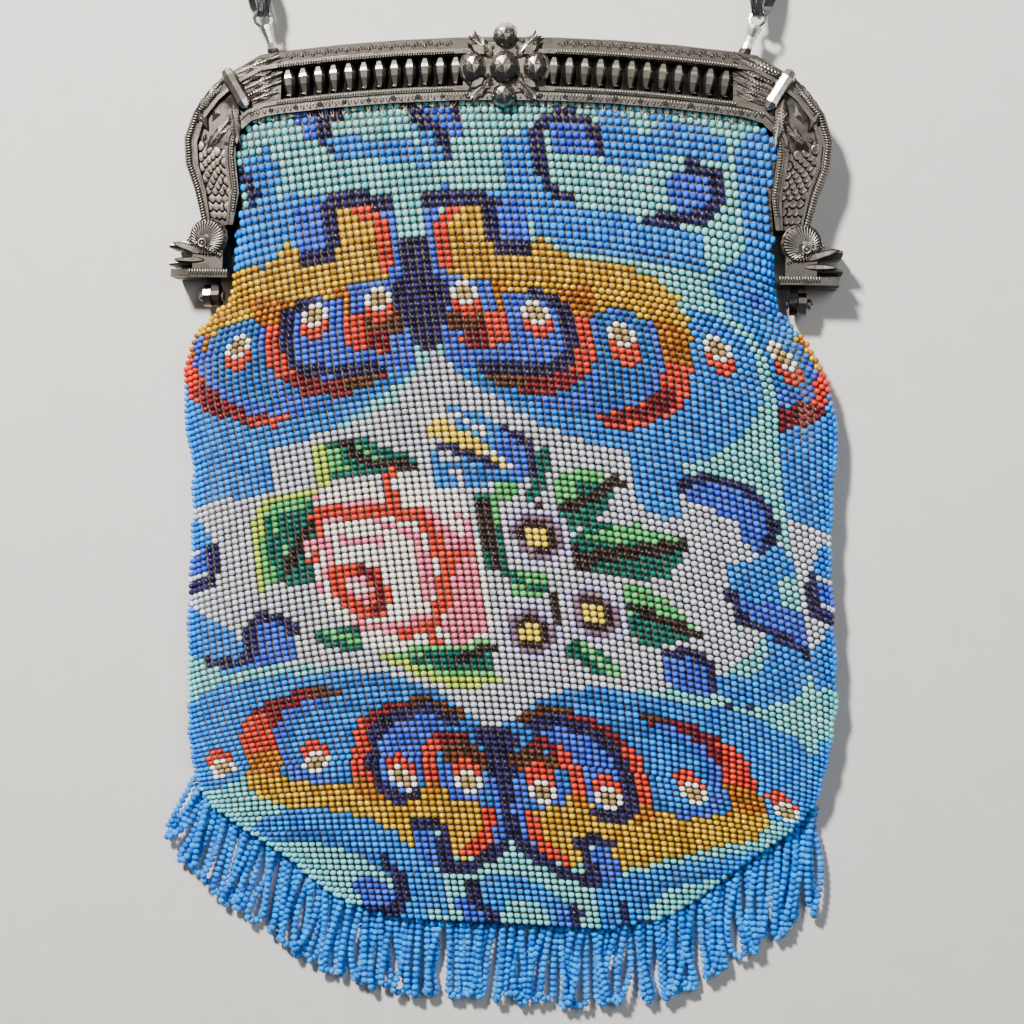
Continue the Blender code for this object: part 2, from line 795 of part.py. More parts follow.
def back_frame():
    section = [(0.0, 0.0), (1.0, 0.0), (1.0, FLANGE_THICKNESS), (BODY_EDGE, FLANGE_THICKNESS)]
    section += [(BODY_EDGE, HALF_THICKNESS), (0.0, HALF_THICKNESS)]
    frame = frame_body("back_frame", section)
    cuts = new_collection("back_frame_windows")
    fused = new_collection("back_frame_soldered")
    bores = new_collection("back_frame_bores")
    add_windows("back", 0.0, fused, cuts)
    for side in (-1, 1):
        add_head("back", side, False, fused)
    add_pin_holes("back", bores)
    combine(frame, "DIFFERENCE", cuts)
    combine(frame, "UNION", fused)
    combine(frame, "DIFFERENCE", bores)
    return frame


def rim_points():
    """Right half of the bag's rim, from the hinge up the arm to the middle."""
    stations = half_stations()
    axis = hinge_axis()
    side_level = axis.y + 2 * HINGE_DROP + HINGE_PLATE_HEIGHT / 2
    points = [Vector((stations[-1][1].x, side_level))]
    for index in RIM_STATIONS:
        outer, inner = stations[index]
        points.append(outer.lerp(inner, RIM_SHARE))
    for outer, inner in reversed(stations[:len(RAIL_STATIONS)]):
        points.append(outer.lerp(inner, RIM_SHARE))
    return points


def rim_shares(points):
    """Share of the way along the rim that each of its points has reached."""
    lengths = [0.0]
    for near, far in zip(points, points[1:]):
        lengths.append(lengths[-1] + (far - near).length)
    return [length / lengths[-1] for length in lengths]


def bag_row(row, side, share, inset):
    """A point of a full row: X, Y, half thickness there and its middle height."""
    drop, left, right, arch, power, thick, clear = row
    left_x = -left * BAG_WIDTH + inset
    right_x = right * BAG_WIDTH - inset
    across = side * (1 - share ** BAG_SIDE_POWER)
    x = (left_x + right_x) / 2 + across * (right_x - left_x) / 2
    rim = RAIL_TOP - RAIL_HEIGHT * RIM_SHARE
    y = rim - drop * BAG_LENGTH + arch * BAG_LENGTH * (1 - abs(across) ** power)
    half = thick * BAG_THICKNESS / 2
    middle = half + clear * BAG_THICKNESS
    bulge = math.sqrt(max(0.0, 1 - abs(across) ** BAG_BULGE_POWER))
    return Vector((x, y)), (half - inset) * bulge, middle


def fold_depth(x, y):
    """How far the folds press the front in at one place."""
    rim = RAIL_TOP - RAIL_HEIGHT * RIM_SHARE
    depth = 0.0
    for x1, y1, x2, y2, deep, wide in BAG_FOLDS:
        start = Vector((x1 * BAG_WIDTH, rim - y1 * BAG_LENGTH))
        end = Vector((x2 * BAG_WIDTH, rim - y2 * BAG_LENGTH))
        line = end - start
        share = (Vector((x, y)) - start).dot(line) / line.length_squared
        nearest = start + line * min(1.0, max(0.0, share))
        away = (Vector((x, y)) - nearest).length / (wide * CLOTH)
        depth += deep * CLOTH * math.exp(-away * away)
    return depth


def bag_point(level, index, side, face, inset, rim, shares):
    """One point of the bag: level 0 is the rim, then the upper and full rows."""
    share = shares[index]
    rim_place = Vector((side * rim[index].x, rim[index].y))
    rim_bulge = math.sqrt(min(1.0, share / RIM_ROUNDING))
    rim_place.x -= side * inset * (1 - rim_bulge)
    rim_half = (MOUTH_THICKNESS / 2 - inset) * rim_bulge
    if level == 0:
        return Vector((*rim_place, MID_HEIGHT + face * rim_half))
    upper = len(BAG_UPPER_ROWS)
    if level > upper:
        place_at, half, middle = bag_row(BAG_ROWS[level - upper - 1], side, share, inset)
    else:
        blend, thick = BAG_UPPER_ROWS[level - 1]
        row_place, row_half, row_middle = bag_row(BAG_ROWS[0], side, share, inset)
        place_at = rim_place.lerp(row_place, blend)
        corner = bag_hinge_corners(side, inset)[level - 1]
        side_rim = Vector((side * (rim[0].x - inset), rim[0].y))
        side_row = bag_row(BAG_ROWS[0], side, 0.0, inset)[0]
        place_at += (corner - side_rim.lerp(side_row, blend)) * (1 - share) ** 3
        middle = lerp(MID_HEIGHT, row_middle, blend)
        bulge = lerp(rim_bulge, row_half / (BAG_ROWS[0][5] * BAG_THICKNESS / 2 - inset), blend)
        half = (thick * BAG_THICKNESS / 2 - inset) * bulge
    if face < 0 or half <= 0:
        return Vector((*place_at, middle + face * half))
    dent = min(fold_depth(*place_at), half / 2)
    return Vector((*place_at, middle + half - dent))


def bag_hinge_corners(side, inset):
    """Where the bag's side passes inside the hinge and just below it."""
    axis = hinge_axis()
    beside = lug_faces(True)[0] - CLEARANCE - PIN_RIVET_LENGTH - BAG_HINGE_GAP - inset
    plate = head_centre().x - HEAD_RADIUS - BAG_HINGE_GAP - inset
    below = axis.y - LUG_RADIUS - BAG_HINGE_GAP / 2
    level = hinge_top() - HINGE_PLATE_HEIGHT / 2
    return Vector((side * min(plate, beside), level)), Vector((side * beside, below))


def bag_loop(level, inset, rim, shares):
    """One closed loop round the bag, from the right side over the front."""
    count = len(rim)
    loop = []
    for face in (1, -1):
        order = [(i, 1) for i in range(count)]
        order += [(i, -1) for i in range(count - 2, -1, -1)]
        if face < 0:
            order = order[-2:0:-1]
        for index, side in order:
            loop.append(bag_point(level, index, side, face, inset, rim, shares))
    return loop


def bag():
    """The hollow bag: outer loops down from the rim and inner loops back up."""
    rim = rim_points()
    shares = rim_shares(rim)
    levels = 1 + len(BAG_UPPER_ROWS) + len(BAG_ROWS)
    outer = [bag_loop(level, 0.0, rim, shares) for level in range(levels)]
    inner = [bag_loop(level, CLOTH, rim, shares) for level in range(levels - 1)]
    return shell("bag", outer, inner)


def shell(name, outer, inner):
    """Skin an outer and an inner set of loops into one hollow wall."""
    mesh = bpy.data.meshes.new(name)
    shape = bmesh.new()
    skins = []
    for loops in (outer, inner):
        made = [[shape.verts.new(point) for point in loop] for loop in loops]
        for near, far in zip(made, made[1:]):
            for i in range(len(near)):
                j = (i + 1) % len(near)
                shape.faces.new((near[i], near[j], far[j], far[i]))
        close_flat(shape, made[-1])
        skins.append(made)
    outer_rim, inner_rim = skins[0][0], skins[1][0]
    for i in range(len(outer_rim)):
        j = (i + 1) % len(outer_rim)
        shape.faces.new((outer_rim[i], outer_rim[j], inner_rim[j], inner_rim[i]))
    bmesh.ops.recalc_face_normals(shape, faces=shape.faces)
    shape.to_mesh(mesh)
    shape.free()
    return bpy.data.objects.new(name, mesh)


def close_flat(shape, loop):
    """Close a flat loop with a strip between its front and its back."""
    half = len(loop) // 2
    front = loop[:half + 1]
    back = [loop[0]] + loop[:half - 1:-1]
    for i in range(half):
        corners = [front[i], front[i + 1], back[i + 1], back[i]]
        shape.faces.new(list(dict.fromkeys(corners)))


def bottom_edge():
    """The bag's outline from the left side round the bottom to the right side."""
    side_rows = BAG_ROWS[FRINGE_FIRST_ROW:]
    left = [bag_row(row, -1, 0.0, 0.0)[0] for row in side_rows]
    right = [bag_row(row, 1, 0.0, 0.0)[0] for row in side_rows]
    middle = []
    steps = 9
    for step in range(1, steps):
        across = -1 + 2 * step / steps
        share = (1 - abs(across)) ** (1 / BAG_SIDE_POWER)
        middle.append(bag_row(BAG_ROWS[-1], math.copysign(1, across), share, 0.0)[0])
    return left + middle + right[::-1]


def along_path(points, share):
    """Point and unit direction at a share of a path, less a trim at its ends."""
    share = lerp(FRINGE_SIDE_TRIM, 1 - FRINGE_SIDE_TRIM, share)
    lengths = [(far - near).length for near, far in zip(points, points[1:])]
    rest = share * sum(lengths)
    for near, far, length in zip(points, points[1:], lengths):
        if rest <= length:
            break
        rest -= length
    rest = min(rest, length)
    return near.lerp(far, rest / length), (far - near).normalized()


def fringe():
    """A head along the bag's bottom edge with strips extruded from it."""
    path = bottom_edge()
    stations = 2 * FRINGE_STRIPS
    height = (BAG_ROWS[-1][5] / 2 + BAG_ROWS[-1][6]) * BAG_THICKNESS
    loops = []
    for step in range(stations):
        centre, along = along_path(path, step / (stations - 1))
        ahead = along_path(path, min(1.0, (step + 1.5) / (stations - 1)))[1]
        behind = along_path(path, max(0.0, (step - 1.5) / (stations - 1)))[1]
        along = (along + ahead + behind).normalized()
        outward = Vector((along.y, -along.x))
        near = centre + outward * CLEARANCE
        far = near + outward * FRINGE_HEAD_HEIGHT
        low = height - FRINGE_THICKNESS / 2
        high = height + FRINGE_THICKNESS / 2
        loops.append([(*near, low), (*near, high), (*far, high), (*far, low)])
    item = loft("fringe", loops)
    shape = bmesh.new()
    shape.from_mesh(item.data)
    shape.faces.ensure_lookup_table()
    outer_faces = [shape.faces[4 * step + 2] for step in range(0, stations - 1, 2)]
    for step, face in enumerate(outer_faces):
        hang_strip(shape, face, (step + 0.5) / FRINGE_STRIPS, height)
    bmesh.ops.recalc_face_normals(shape, faces=shape.faces)
    shape.to_mesh(item.data)
    shape.free()
    return item


def hang_strip(shape, face, share, height):
    """Pull one strip out of the head's lower edge, down to the floor."""
    length = table_value(FRINGE_ROWS, share, 1) * FRINGE_LENGTH - FRINGE_HEAD_HEIGHT
    lean = math.radians(table_value(FRINGE_ROWS, share, 2))
    away = Vector((math.sin(lean), -math.cos(lean), 0)) * length
    fall = height - FRINGE_THICKNESS / 2 - CLEARANCE / 3
    for along, down in STRIP_STRETCHES:
        grown = bmesh.ops.extrude_discrete_faces(shape, faces=[face])["faces"]
        face = grown[0]
        step = away * along + Vector((0, 0, -fall * down))
        bmesh.ops.translate(shape, verts=face.verts, vec=step)
        centre = face.calc_center_median()
        for corner in face.verts:
            corner.co.y = lerp(corner.co.y, centre.y, STRIP_LEVELLING)


def link_axes(along):
    """Unit axes of a link: along the chain, through its hole and across it."""
    along = along.normalized()
    level = Vector((0, 0, 1)).cross(along).normalized()
    up = along.cross(level)
    hole = level * math.cos(LINK_TILT) + up * math.sin(LINK_TILT)
    return along, hole, hole.cross(along)


def chain_link(name, centre, direction):
    """A bent oval band, wide at its sides and narrow where the rings hold it."""
    along, hole, across = link_axes(direction)
    long_radius = (LINK_LENGTH - LINK_THICKNESS) / 2
    short_radius = (LINK_WIDTH - LINK_THICKNESS) / 2
    sections = []
    for step in range(LINK_SIDES):
        turn = 2 * math.pi * step / LINK_SIDES
        cosine = math.cos(turn)
        sine = math.sin(turn)
        middle = centre + along * (long_radius * cosine) + across * (short_radius * sine)
        outward = (along * (short_radius * cosine) + across * (long_radius * sine)).normalized()
        half_band = lerp(LINK_END_BAND, LINK_BAND, abs(sine) ** 1.3) / 2
        inner = middle - outward * LINK_THICKNESS / 2
        outer = middle + outward * LINK_THICKNESS / 2
        shoulder = middle + outward * LINK_THICKNESS * 0.2
        sections.append([
            inner - hole * half_band,
            inner + hole * half_band,
            shoulder + hole * half_band,
            outer,
            shoulder - hole * half_band,
        ])
    return loft(name, sections, ring=True)


def link_rest_height():
    """Height of a tilted link's centre when its lower edge is on the floor."""
    across = (LINK_WIDTH - LINK_THICKNESS) / 2
    shoulder = across + LINK_THICKNESS * 0.2
    edge = shoulder * math.cos(LINK_TILT) + LINK_BAND / 2 * math.sin(LINK_TILT)
    crown = (across + LINK_THICKNESS / 2) * math.cos(LINK_TILT)
    return max(edge, crown) + CLEARANCE / 3


def chain_vertices():
    """Centres of the eyelets and rings: an arc that the links just fill."""
    start = eyelet_centre(-1)
    half_span = -start.x
    pitch = LINK_LENGTH + LINK_END_GAP
    low = half_span
    high = LINK_COUNT * pitch
    for _ in range(60):
        radius = (low + high) / 2
        half_angle = LINK_COUNT * math.asin(min(1.0, pitch / 2 / radius))
        if half_angle > math.pi / 2 and radius * math.sin(half_angle) < half_span:
            low = radius
        else:
            high = radius
    step_angle = 2 * half_angle / LINK_COUNT
    centre_y = start.y - radius * math.cos(half_angle)
    rest = link_rest_height()
    vertices = []
    for i in range(LINK_COUNT + 1):
        angle = -half_angle + i * step_angle
        from_end = min(i, LINK_COUNT - i)
        kept = CHAIN_FALL ** from_end if from_end < CHAIN_FALL_RINGS else 0.0
        height = rest + max(0.0, CHAIN_HEIGHT - rest) * kept
        y = centre_y + radius * math.cos(angle)
        vertices.append(Vector((radius * math.sin(angle), y, height)))
    return vertices


def chain():
    """Links along the arc and rings between them, as a list of objects."""
    vertices = chain_vertices()
    made = []
    for i, (near, far) in enumerate(zip(vertices, vertices[1:])):
        made.append(chain_link(f"chain_link_{i + 1:02d}", (near + far) / 2, far - near))
    for i in range(1, LINK_COUNT):
        along = vertices[i + 1] - vertices[i - 1]
        made.append(ring_body(f"chain_ring_{i:02d}", vertices[i], along.normalized()))
    return made


def finish(item, look, collection):
    """Give a finished piece its material, its collection and smooth rounds."""
    place(item, collection)
    item.data.materials.clear()
    item.data.materials.append(look)
    item.data.shade_smooth()
    item.data.set_sharp_from_angle(angle=math.radians(40))


def main():
    clear_scene()
    purse = new_collection("beaded_flapper_purse")
    silver = material("aged_silver", (0.62, 0.60, 0.56), 0.34, 1.0)
    dark_silver = material("dark_silver", (0.30, 0.30, 0.30), 0.38, 1.0)
    beadwork = material("aqua_beadwork", (0.42, 0.72, 0.74), 0.30, 0.0)
    fringe_blue = material("sky_blue_beads", (0.05, 0.42, 0.80), 0.25, 0.0)
    finish(front_frame(), silver, purse)
    finish(back_frame(), silver, purse)
    finish(clasp_button(), silver, purse)
    finish(hinge_pin("hinge_pin_left", -1), dark_silver, purse)
    finish(hinge_pin("hinge_pin_right", 1), dark_silver, purse)
    finish(bag(), beadwork, purse)
    finish(fringe(), fringe_blue, purse)
    for item in chain():
        finish(item, dark_silver, purse)


main()
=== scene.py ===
# %% [markdown]
# # A beaded flapper purse
#
# This lesson dresses the plain solids of a 1920s evening purse. The solids
# give every size and place: a pierced silver frame, a hollow bag, a fringe and
# a chain. Here they get their beads, their thread, their relief and their
# wear. Everything is in metres, and the purse lies on its back with its front
# facing up.

import math

import bpy
import numpy as np
from mathutils import Matrix, Vector
from mathutils.bvhtree import BVHTree


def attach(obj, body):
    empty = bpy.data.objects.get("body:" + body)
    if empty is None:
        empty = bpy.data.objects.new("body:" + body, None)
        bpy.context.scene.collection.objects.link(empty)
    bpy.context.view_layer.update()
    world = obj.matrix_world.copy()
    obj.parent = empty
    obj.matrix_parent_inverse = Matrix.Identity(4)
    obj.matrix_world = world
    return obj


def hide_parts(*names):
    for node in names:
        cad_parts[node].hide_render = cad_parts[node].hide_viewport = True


MM = 0.001
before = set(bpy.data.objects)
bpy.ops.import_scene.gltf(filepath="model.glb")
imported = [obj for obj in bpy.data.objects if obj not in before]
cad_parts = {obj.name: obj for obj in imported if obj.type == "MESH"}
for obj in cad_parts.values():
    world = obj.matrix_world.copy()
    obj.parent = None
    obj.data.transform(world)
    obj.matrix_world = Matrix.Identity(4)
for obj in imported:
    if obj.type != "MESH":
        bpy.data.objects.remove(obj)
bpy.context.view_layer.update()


def in_mm(lengths):
    return [round(float(x) / MM, 1) for x in lengths]


# %% [markdown]
# The camera looks straight down on the purse, from a little to the right, so
# that the right end of the frame looks a little larger than the left one. The
# purse was laid down turned by a degree and a half, and the camera is turned
# instead, because the solids stay where they are.

# %% Camera
PICTURE_WIDTH = 0.2458
PICTURE_CENTRE = Vector((0.0046, -0.1067, 0.0095))
CAMERA_DISTANCE = 0.45
CAMERA_TURN = math.radians(1.5)
CAMERA_SIDE = math.radians(6.0)
SENSOR_WIDTH = 36.0


def add_camera():
    data = bpy.data.cameras.new("camera")
    data.sensor_width = SENSOR_WIDTH
    data.lens = SENSOR_WIDTH * CAMERA_DISTANCE / PICTURE_WIDTH
    data.clip_start = 0.01
    data.clip_end = 10.0
    camera = bpy.data.objects.new("camera", data)
    bpy.context.scene.collection.objects.link(camera)
    turned = Matrix.Rotation(CAMERA_TURN, 4, "Z") @ Matrix.Rotation(CAMERA_SIDE, 4, "Y")
    back_off = Matrix.Translation((0, 0, CAMERA_DISTANCE))
    camera.matrix_world = Matrix.Translation(PICTURE_CENTRE) @ turned @ back_off
    bpy.context.scene.camera = camera


add_camera()
print("Camera at, in mm:", in_mm(bpy.context.scene.camera.matrix_world.translation))

# %% [markdown]
# Two lights make a plain studio. A small strong one stands for the window and
# gives glass and metal their sparkle, and a wide pale one fills the shadows.

# %% Lights
WORLD_COLOUR = (0.94, 0.97, 1.0, 1.0)
WORLD_LIGHT = 0.12
# Name, place, size, power and colour
LIGHTS = (
    ("window", (-0.28, 0.42, 0.62), 0.10, 21.0, (1.0, 0.97, 0.92)),
    ("sky", (0.45, 0.15, 0.85), 0.4, 3.2, (0.92, 0.96, 1.0)),
)


def add_light(name, place, size, power, colour):
    data = bpy.data.lights.new(name, "AREA")
    data.size = size
    data.energy = power
    data.color = colour
    lamp = bpy.data.objects.new(name, data)
    bpy.context.scene.collection.objects.link(lamp)
    lamp.location = place
    aim = PICTURE_CENTRE - Vector(place)
    lamp.rotation_euler = aim.to_track_quat("-Z", "Y").to_euler()


def add_world():
    world = bpy.data.worlds.new("studio")
    world.use_nodes = True
    background = world.node_tree.nodes["Background"]
    background.inputs["Color"].default_value = WORLD_COLOUR
    background.inputs["Strength"].default_value = WORLD_LIGHT
    bpy.context.scene.world = world


add_world()
for light in LIGHTS:
    add_light(*light)
print("Lights:", [light[0] for light in LIGHTS])

# %% [markdown]
# Finished pieces are handled in the same few ways: everything is deselected
# before an operator runs, lines are dropped on a solid to find its height, and
# a new piece is tied to a body of the frame.

# %% Helpers for pieces
RAY_START = 0.05
rng = np.random.default_rng(1925)


def deselect():
    if bpy.context.object and bpy.context.object.mode != "OBJECT":
        bpy.ops.object.mode_set(mode="OBJECT")
    bpy.ops.object.select_all(action="DESELECT")


def edit_all():
    """Opens the active piece in edit mode, with all of it selected."""
    bpy.ops.object.mode_set(mode="EDIT")
    bpy.ops.mesh.select_all(action="SELECT")


def mesh_tree(mesh):
    """A tree for finding where a straight line meets a mesh."""
    points = [v.co.copy() for v in mesh.vertices]
    return BVHTree.FromPolygons(points, [tuple(p.vertices) for p in mesh.polygons])


def drop_line(tree, x, y, way=-1):
    """Where a line dropped from above meets a mesh, and the normal there.
    A way of 1 sends the line up from below."""
    return tree.ray_cast(Vector((x, y, -way * RAY_START)), Vector((0, 0, way)))[:2]


def triangles(mesh):
    return sum(len(p.vertices) - 2 for p in mesh.polygons)


def settle(item, body, look):
    """Ties a finished piece to its body and gives it its material."""
    item.data.materials.clear()
    item.data.materials.append(look)
    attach(item, body)
    return item


print("Helpers ready")

# %% [markdown]
# The purse has thousands of beads and small ornaments. A shape that repeats
# could be an instance, but each copy needs its own place in one exported mesh,
# so it is modelled once and its points are copied by one sum over arrays.

# %% Copies of a pattern
HOLLOW_CURVE = 0.7


class Pattern:
    """A small shape that is copied many times into one mesh. How low a point
    lies in it, from 0 at the top to 1 at the foot, is kept as its hollow."""

    def __init__(self, item, smooth=True):
        mesh = item.data
        self.points = np.array([v.co for v in mesh.vertices], float)
        self.loops = np.array([loop.vertex_index for loop in mesh.loops], int)
        self.sizes = np.array([len(p.vertices) for p in mesh.polygons], int)
        self.smooth = smooth
        heights = self.points[:, 2]
        self.hollow = ((heights.max() - heights) / np.ptp(heights)) ** HOLLOW_CURVE
        bpy.data.objects.remove(item)


def ball(segments, rings, radius=0.5):
    deselect()
    bpy.ops.mesh.primitive_uv_sphere_add(segments=segments, ring_count=rings, radius=radius)
    return bpy.context.object


def hoop(segments, radius, thickness):
    """A ring of round wire."""
    deselect()
    bpy.ops.mesh.primitive_torus_add(
        major_segments=segments, minor_segments=5, major_radius=radius, minor_radius=thickness)
    return bpy.context.object


def add_values(mesh, name, values):
    """Keeps one number for each point of a mesh, for its material to read."""
    attribute = mesh.attributes.new(name, "FLOAT", "POINT")
    attribute.data.foreach_set("value", values.astype(np.float32))


def copies(name, pattern, places, axes):
    """Copies a pattern to many places. Each row of axes holds the three
    directions, scaled, that the pattern's own X, Y and Z become."""
    places = np.asarray(places, float)
    count = len(places)
    points = np.einsum("pk,nkc->npc", pattern.points, np.asarray(axes, float))
    points = points + places[:, None, :]
    size = len(pattern.points)
    loops = (pattern.loops[None, :] + size * np.arange(count)[:, None]).ravel()
    sizes = np.tile(pattern.sizes, count)
    mesh = bpy.data.meshes.new(name)
    mesh.vertices.add(count * size)
    mesh.loops.add(len(loops))
    mesh.polygons.add(len(sizes))
    mesh.vertices.foreach_set("co", points.ravel().astype(np.float32))
    mesh.loops.foreach_set("vertex_index", loops.astype(np.int32))
    starts = np.concatenate([[0], np.cumsum(sizes)[:-1]])
    mesh.polygons.foreach_set("loop_start", starts.astype(np.int32))
    mesh.update(calc_edges=True)
    mesh.polygons.foreach_set("use_smooth", [pattern.smooth] * len(sizes))
    mesh.validate()
    item = bpy.data.objects.new(name, mesh)
    bpy.context.scene.collection.objects.link(item)
    return item


print("Patterns can be copied")

# %% [markdown]
# Materials share a few effects. The first one is for silver: it darkens what
# lies deep, as tarnish and as painted shade, and leaves bright what stands
# proud, where polishing has reached it.
# The second one gives each bead a slightly different shade of its colour, as
# in any batch of old glass beads. Each effect is a node group that is built
# once, so that one change to it reaches every piece.

# %% Nodes
def math_node(tree, operation, first, second):
    """Adds a Math node. Each operand is a number or an output socket."""
    node = tree.nodes.new("ShaderNodeMath")
    node.operation = operation
    for socket, value in zip(node.inputs, (first, second)):
        if isinstance(value, (int, float)):
            socket.default_value = value
        else:
            tree.links.new(value, socket)
    return node.outputs[0]


def scale_and_add(tree, value, factor, added):
    return math_node(tree, "ADD", math_node(tree, "MULTIPLY", value, factor), added)


def mix_node(tree, share, first, second):
    """Mixes two colours. Each operand is a colour or an output socket."""
    node = tree.nodes.new("ShaderNodeMix")
    node.data_type = "RGBA"
    tree.links.new(share, node.inputs[0])
    for index, value in ((6, first), (7, second)):
        if isinstance(value, bpy.types.NodeSocket):
            tree.links.new(value, node.inputs[index])
        else:
            node.inputs[index].default_value = (*value, 1.0)
    return node.outputs[2]


def range_node(tree, value, low, high):
    """Spreads a value's range over 0 to 1."""
    node = tree.nodes.new("ShaderNodeMapRange")
    node.inputs["From Min"].default_value = low
    node.inputs["From Max"].default_value = high
    tree.links.new(value, node.inputs["Value"])
    return node.outputs["Result"]


def noise_node(tree, vector, scale, detail=3.0):
    node = tree.nodes.new("ShaderNodeTexNoise")
    node.inputs["Scale"].default_value = scale
    node.inputs["Detail"].default_value = detail
    tree.links.new(vector, node.inputs["Vector"])
    return node.outputs["Fac"]


# %% Shared shader groups
COLOUR, NUMBER, VECTOR = "NodeSocketColor", "NodeSocketFloat", "NodeSocketVector"


def new_group(name, inputs):
    """A shader node group with named sockets for a surface."""
    group = bpy.data.node_groups.new(name, "ShaderNodeTree")
    for kind, label, value in inputs:
        socket = group.interface.new_socket(label, in_out="INPUT", socket_type=kind)
        socket.default_value = value
    for kind, label in ((COLOUR, "Color"), (NUMBER, "Roughness"), (NUMBER, "Height")):
        group.interface.new_socket(label, in_out="OUTPUT", socket_type=kind)
    return group, group.nodes.new("NodeGroupInput")


def put_out(group, colour, roughness, height):
    """Joins the group's last values to its output sockets."""
    end = group.nodes.new("NodeGroupOutput")
    for label, value in (("Color", colour), ("Roughness", roughness), ("Height", height)):
        group.links.new(value, end.inputs[label])
    return group


def tarnish_and_shade_group():
    group, start = new_group("tarnish and shade", (
        (VECTOR, "Place", (0.0, 0.0, 0.0)),
        (NUMBER, "Depth", 0.0),
        (COLOUR, "Bright", (0.8, 0.78, 0.74, 1.0)),
        (COLOUR, "Dark", (0.1, 0.1, 0.1, 1.0)),
        (NUMBER, "Tarnish", 0.5),
    ))
    cloud = noise_node(group, start.outputs["Place"], 260.0)
    speck = noise_node(group, start.outputs["Place"], 2400.0, 2.0)
    patch = range_node(group, cloud, 0.40, 0.72)
    tarnish = math_node(group, "MULTIPLY", patch, start.outputs["Tarnish"])
    # The depth darkens the silver as painted shade in hollows and as tarnish; the cloud patches are
    # tarnish only.
    depth = math_node(group, "ADD", start.outputs["Depth"], tarnish)
    spread = math_node(group, "SUBTRACT", speck, 0.5)
    share = range_node(group, scale_and_add(group, spread, 0.25, depth), 0.0, 1.0)
    colour = mix_node(group, share, start.outputs["Bright"], start.outputs["Dark"])
    dents = scale_and_add(group, cloud, 0.7, math_node(group, "MULTIPLY", speck, 0.3))
    return put_out(group, colour, scale_and_add(group, share, 0.30, 0.24), dents)


def bead_shade_group():
    group, start = new_group("bead shade", (
        (NUMBER, "Shade", 0.5),
        (COLOUR, "Pale", (0.8, 0.8, 0.8, 1.0)),
        (COLOUR, "Deep", (0.2, 0.2, 0.2, 1.0)),
        (VECTOR, "Place", (0.0, 0.0, 0.0)),
    ))
    grain = noise_node(group, start.outputs["Place"], 1500.0, 2.0)
    spread = math_node(group, "SUBTRACT", grain, 0.5)
    share = scale_and_add(group, spread, 0.3, start.outputs["Shade"])
    colour = mix_node(group, share, start.outputs["Pale"], start.outputs["Deep"])
    return put_out(group, colour, scale_and_add(group, grain, 0.14, 0.05), grain)


TARNISH_AND_SHADE = tarnish_and_shade_group()
BEAD_SHADE = bead_shade_group()
print("Groups:", TARNISH_AND_SHADE.name, "and", BEAD_SHADE.name)

# %% Helpers for materials
def new_material(name):
    material = bpy.data.materials.new(name)
    material.use_nodes = True
    return material, material.node_tree


def shader_of(material):
    return material.node_tree.nodes["Principled BSDF"]


def place_of(material):
    node = material.node_tree.nodes.new("ShaderNodeTexCoord")
    return node.outputs["Object"]


def values_of(material, name):
    """What add_values kept on the points of a mesh."""
    node = material.node_tree.nodes.new("ShaderNodeAttribute")
    node.attribute_name = name
    return node.outputs["Fac"]


def bump(material, height, distance, strength):
    tree = material.node_tree
    node = tree.nodes.new("ShaderNodeBump")
    node.inputs["Distance"].default_value = distance
    node.inputs["Strength"].default_value = strength
    tree.links.new(height, node.inputs["Height"])
    tree.links.new(node.outputs["Normal"], shader_of(material).inputs["Normal"])


def use_group(material, shared, place, colours):
    """Places a shared group in a material and joins it to the shader."""
    tree = material.node_tree
    group = tree.nodes.new("ShaderNodeGroup")
    group.node_tree = shared
    tree.links.new(place, group.inputs["Place"])
    for label, colour in colours.items():
        group.inputs[label].default_value = (*colour, 1.0)
    shader = shader_of(material)
    tree.links.new(group.outputs["Color"], shader.inputs["Base Color"])
    tree.links.new(group.outputs["Roughness"], shader.inputs["Roughness"])
    return group


def finish_plainly(material, colour, roughness):
    """Joins a colour straight to the shader, with one roughness."""
    material.node_tree.links.new(colour, shader_of(material).inputs["Base Color"])
    shader_of(material).inputs["Roughness"].default_value = roughness


def grained_material(name, scale, first, second, roughness):
    """A dull material whose colour changes with a fine grain."""
    material, tree = new_material(name)
    grain = noise_node(tree, place_of(material), scale)
    finish_plainly(material, mix_node(tree, grain, first, second), roughness)
    return material, grain


# %% [markdown]
# The silver is plated metal that is darker in its hollows, partly from tarnish
# and partly as painted shade. How deep a point lies comes from its height above
# the floor on the frame's own solids, and from a "hollow" attribute on the
# pieces that are added to them. The two trumpet posts stand above the bowed
# rail and are polished bright, so the depth fades out above the rail.

# %% Metal materials
FRONT_FACE = 0.0096
RELIEF_DEPTH = 0.0008
MOST_DEPTH = 0.84
RAIL_BOW = 1.19
POST_FOOT = 0.0086
POST_FADE = 0.0006
POST_BRIGHT = (0.80, 0.78, 0.74)
SILVER_DARK = (0.014, 0.012, 0.011)


def depth_by_height(material, group, place, bright):
    """Depth below the frame's front face, and none on the two posts."""
    tree = material.node_tree
    split = tree.nodes.new("ShaderNodeSeparateXYZ")
    tree.links.new(place, split.inputs["Vector"])
    x, y, z = split.outputs
    depth = range_node(tree, z, FRONT_FACE, FRONT_FACE - RELIEF_DEPTH)
    level = scale_and_add(tree, math_node(tree, "MULTIPLY", x, x), RAIL_BOW, y)
    below = range_node(tree, level, POST_FOOT + POST_FADE, POST_FOOT)
    # Points below the front face are painted darker, as shade in the recesses and as tarnish.
    deep = math_node(tree, "MULTIPLY", depth, MOST_DEPTH)
    tree.links.new(math_node(tree, "MULTIPLY", deep, below), group.inputs["Depth"])
    tree.links.new(mix_node(tree, below, POST_BRIGHT, bright), group.inputs["Bright"])


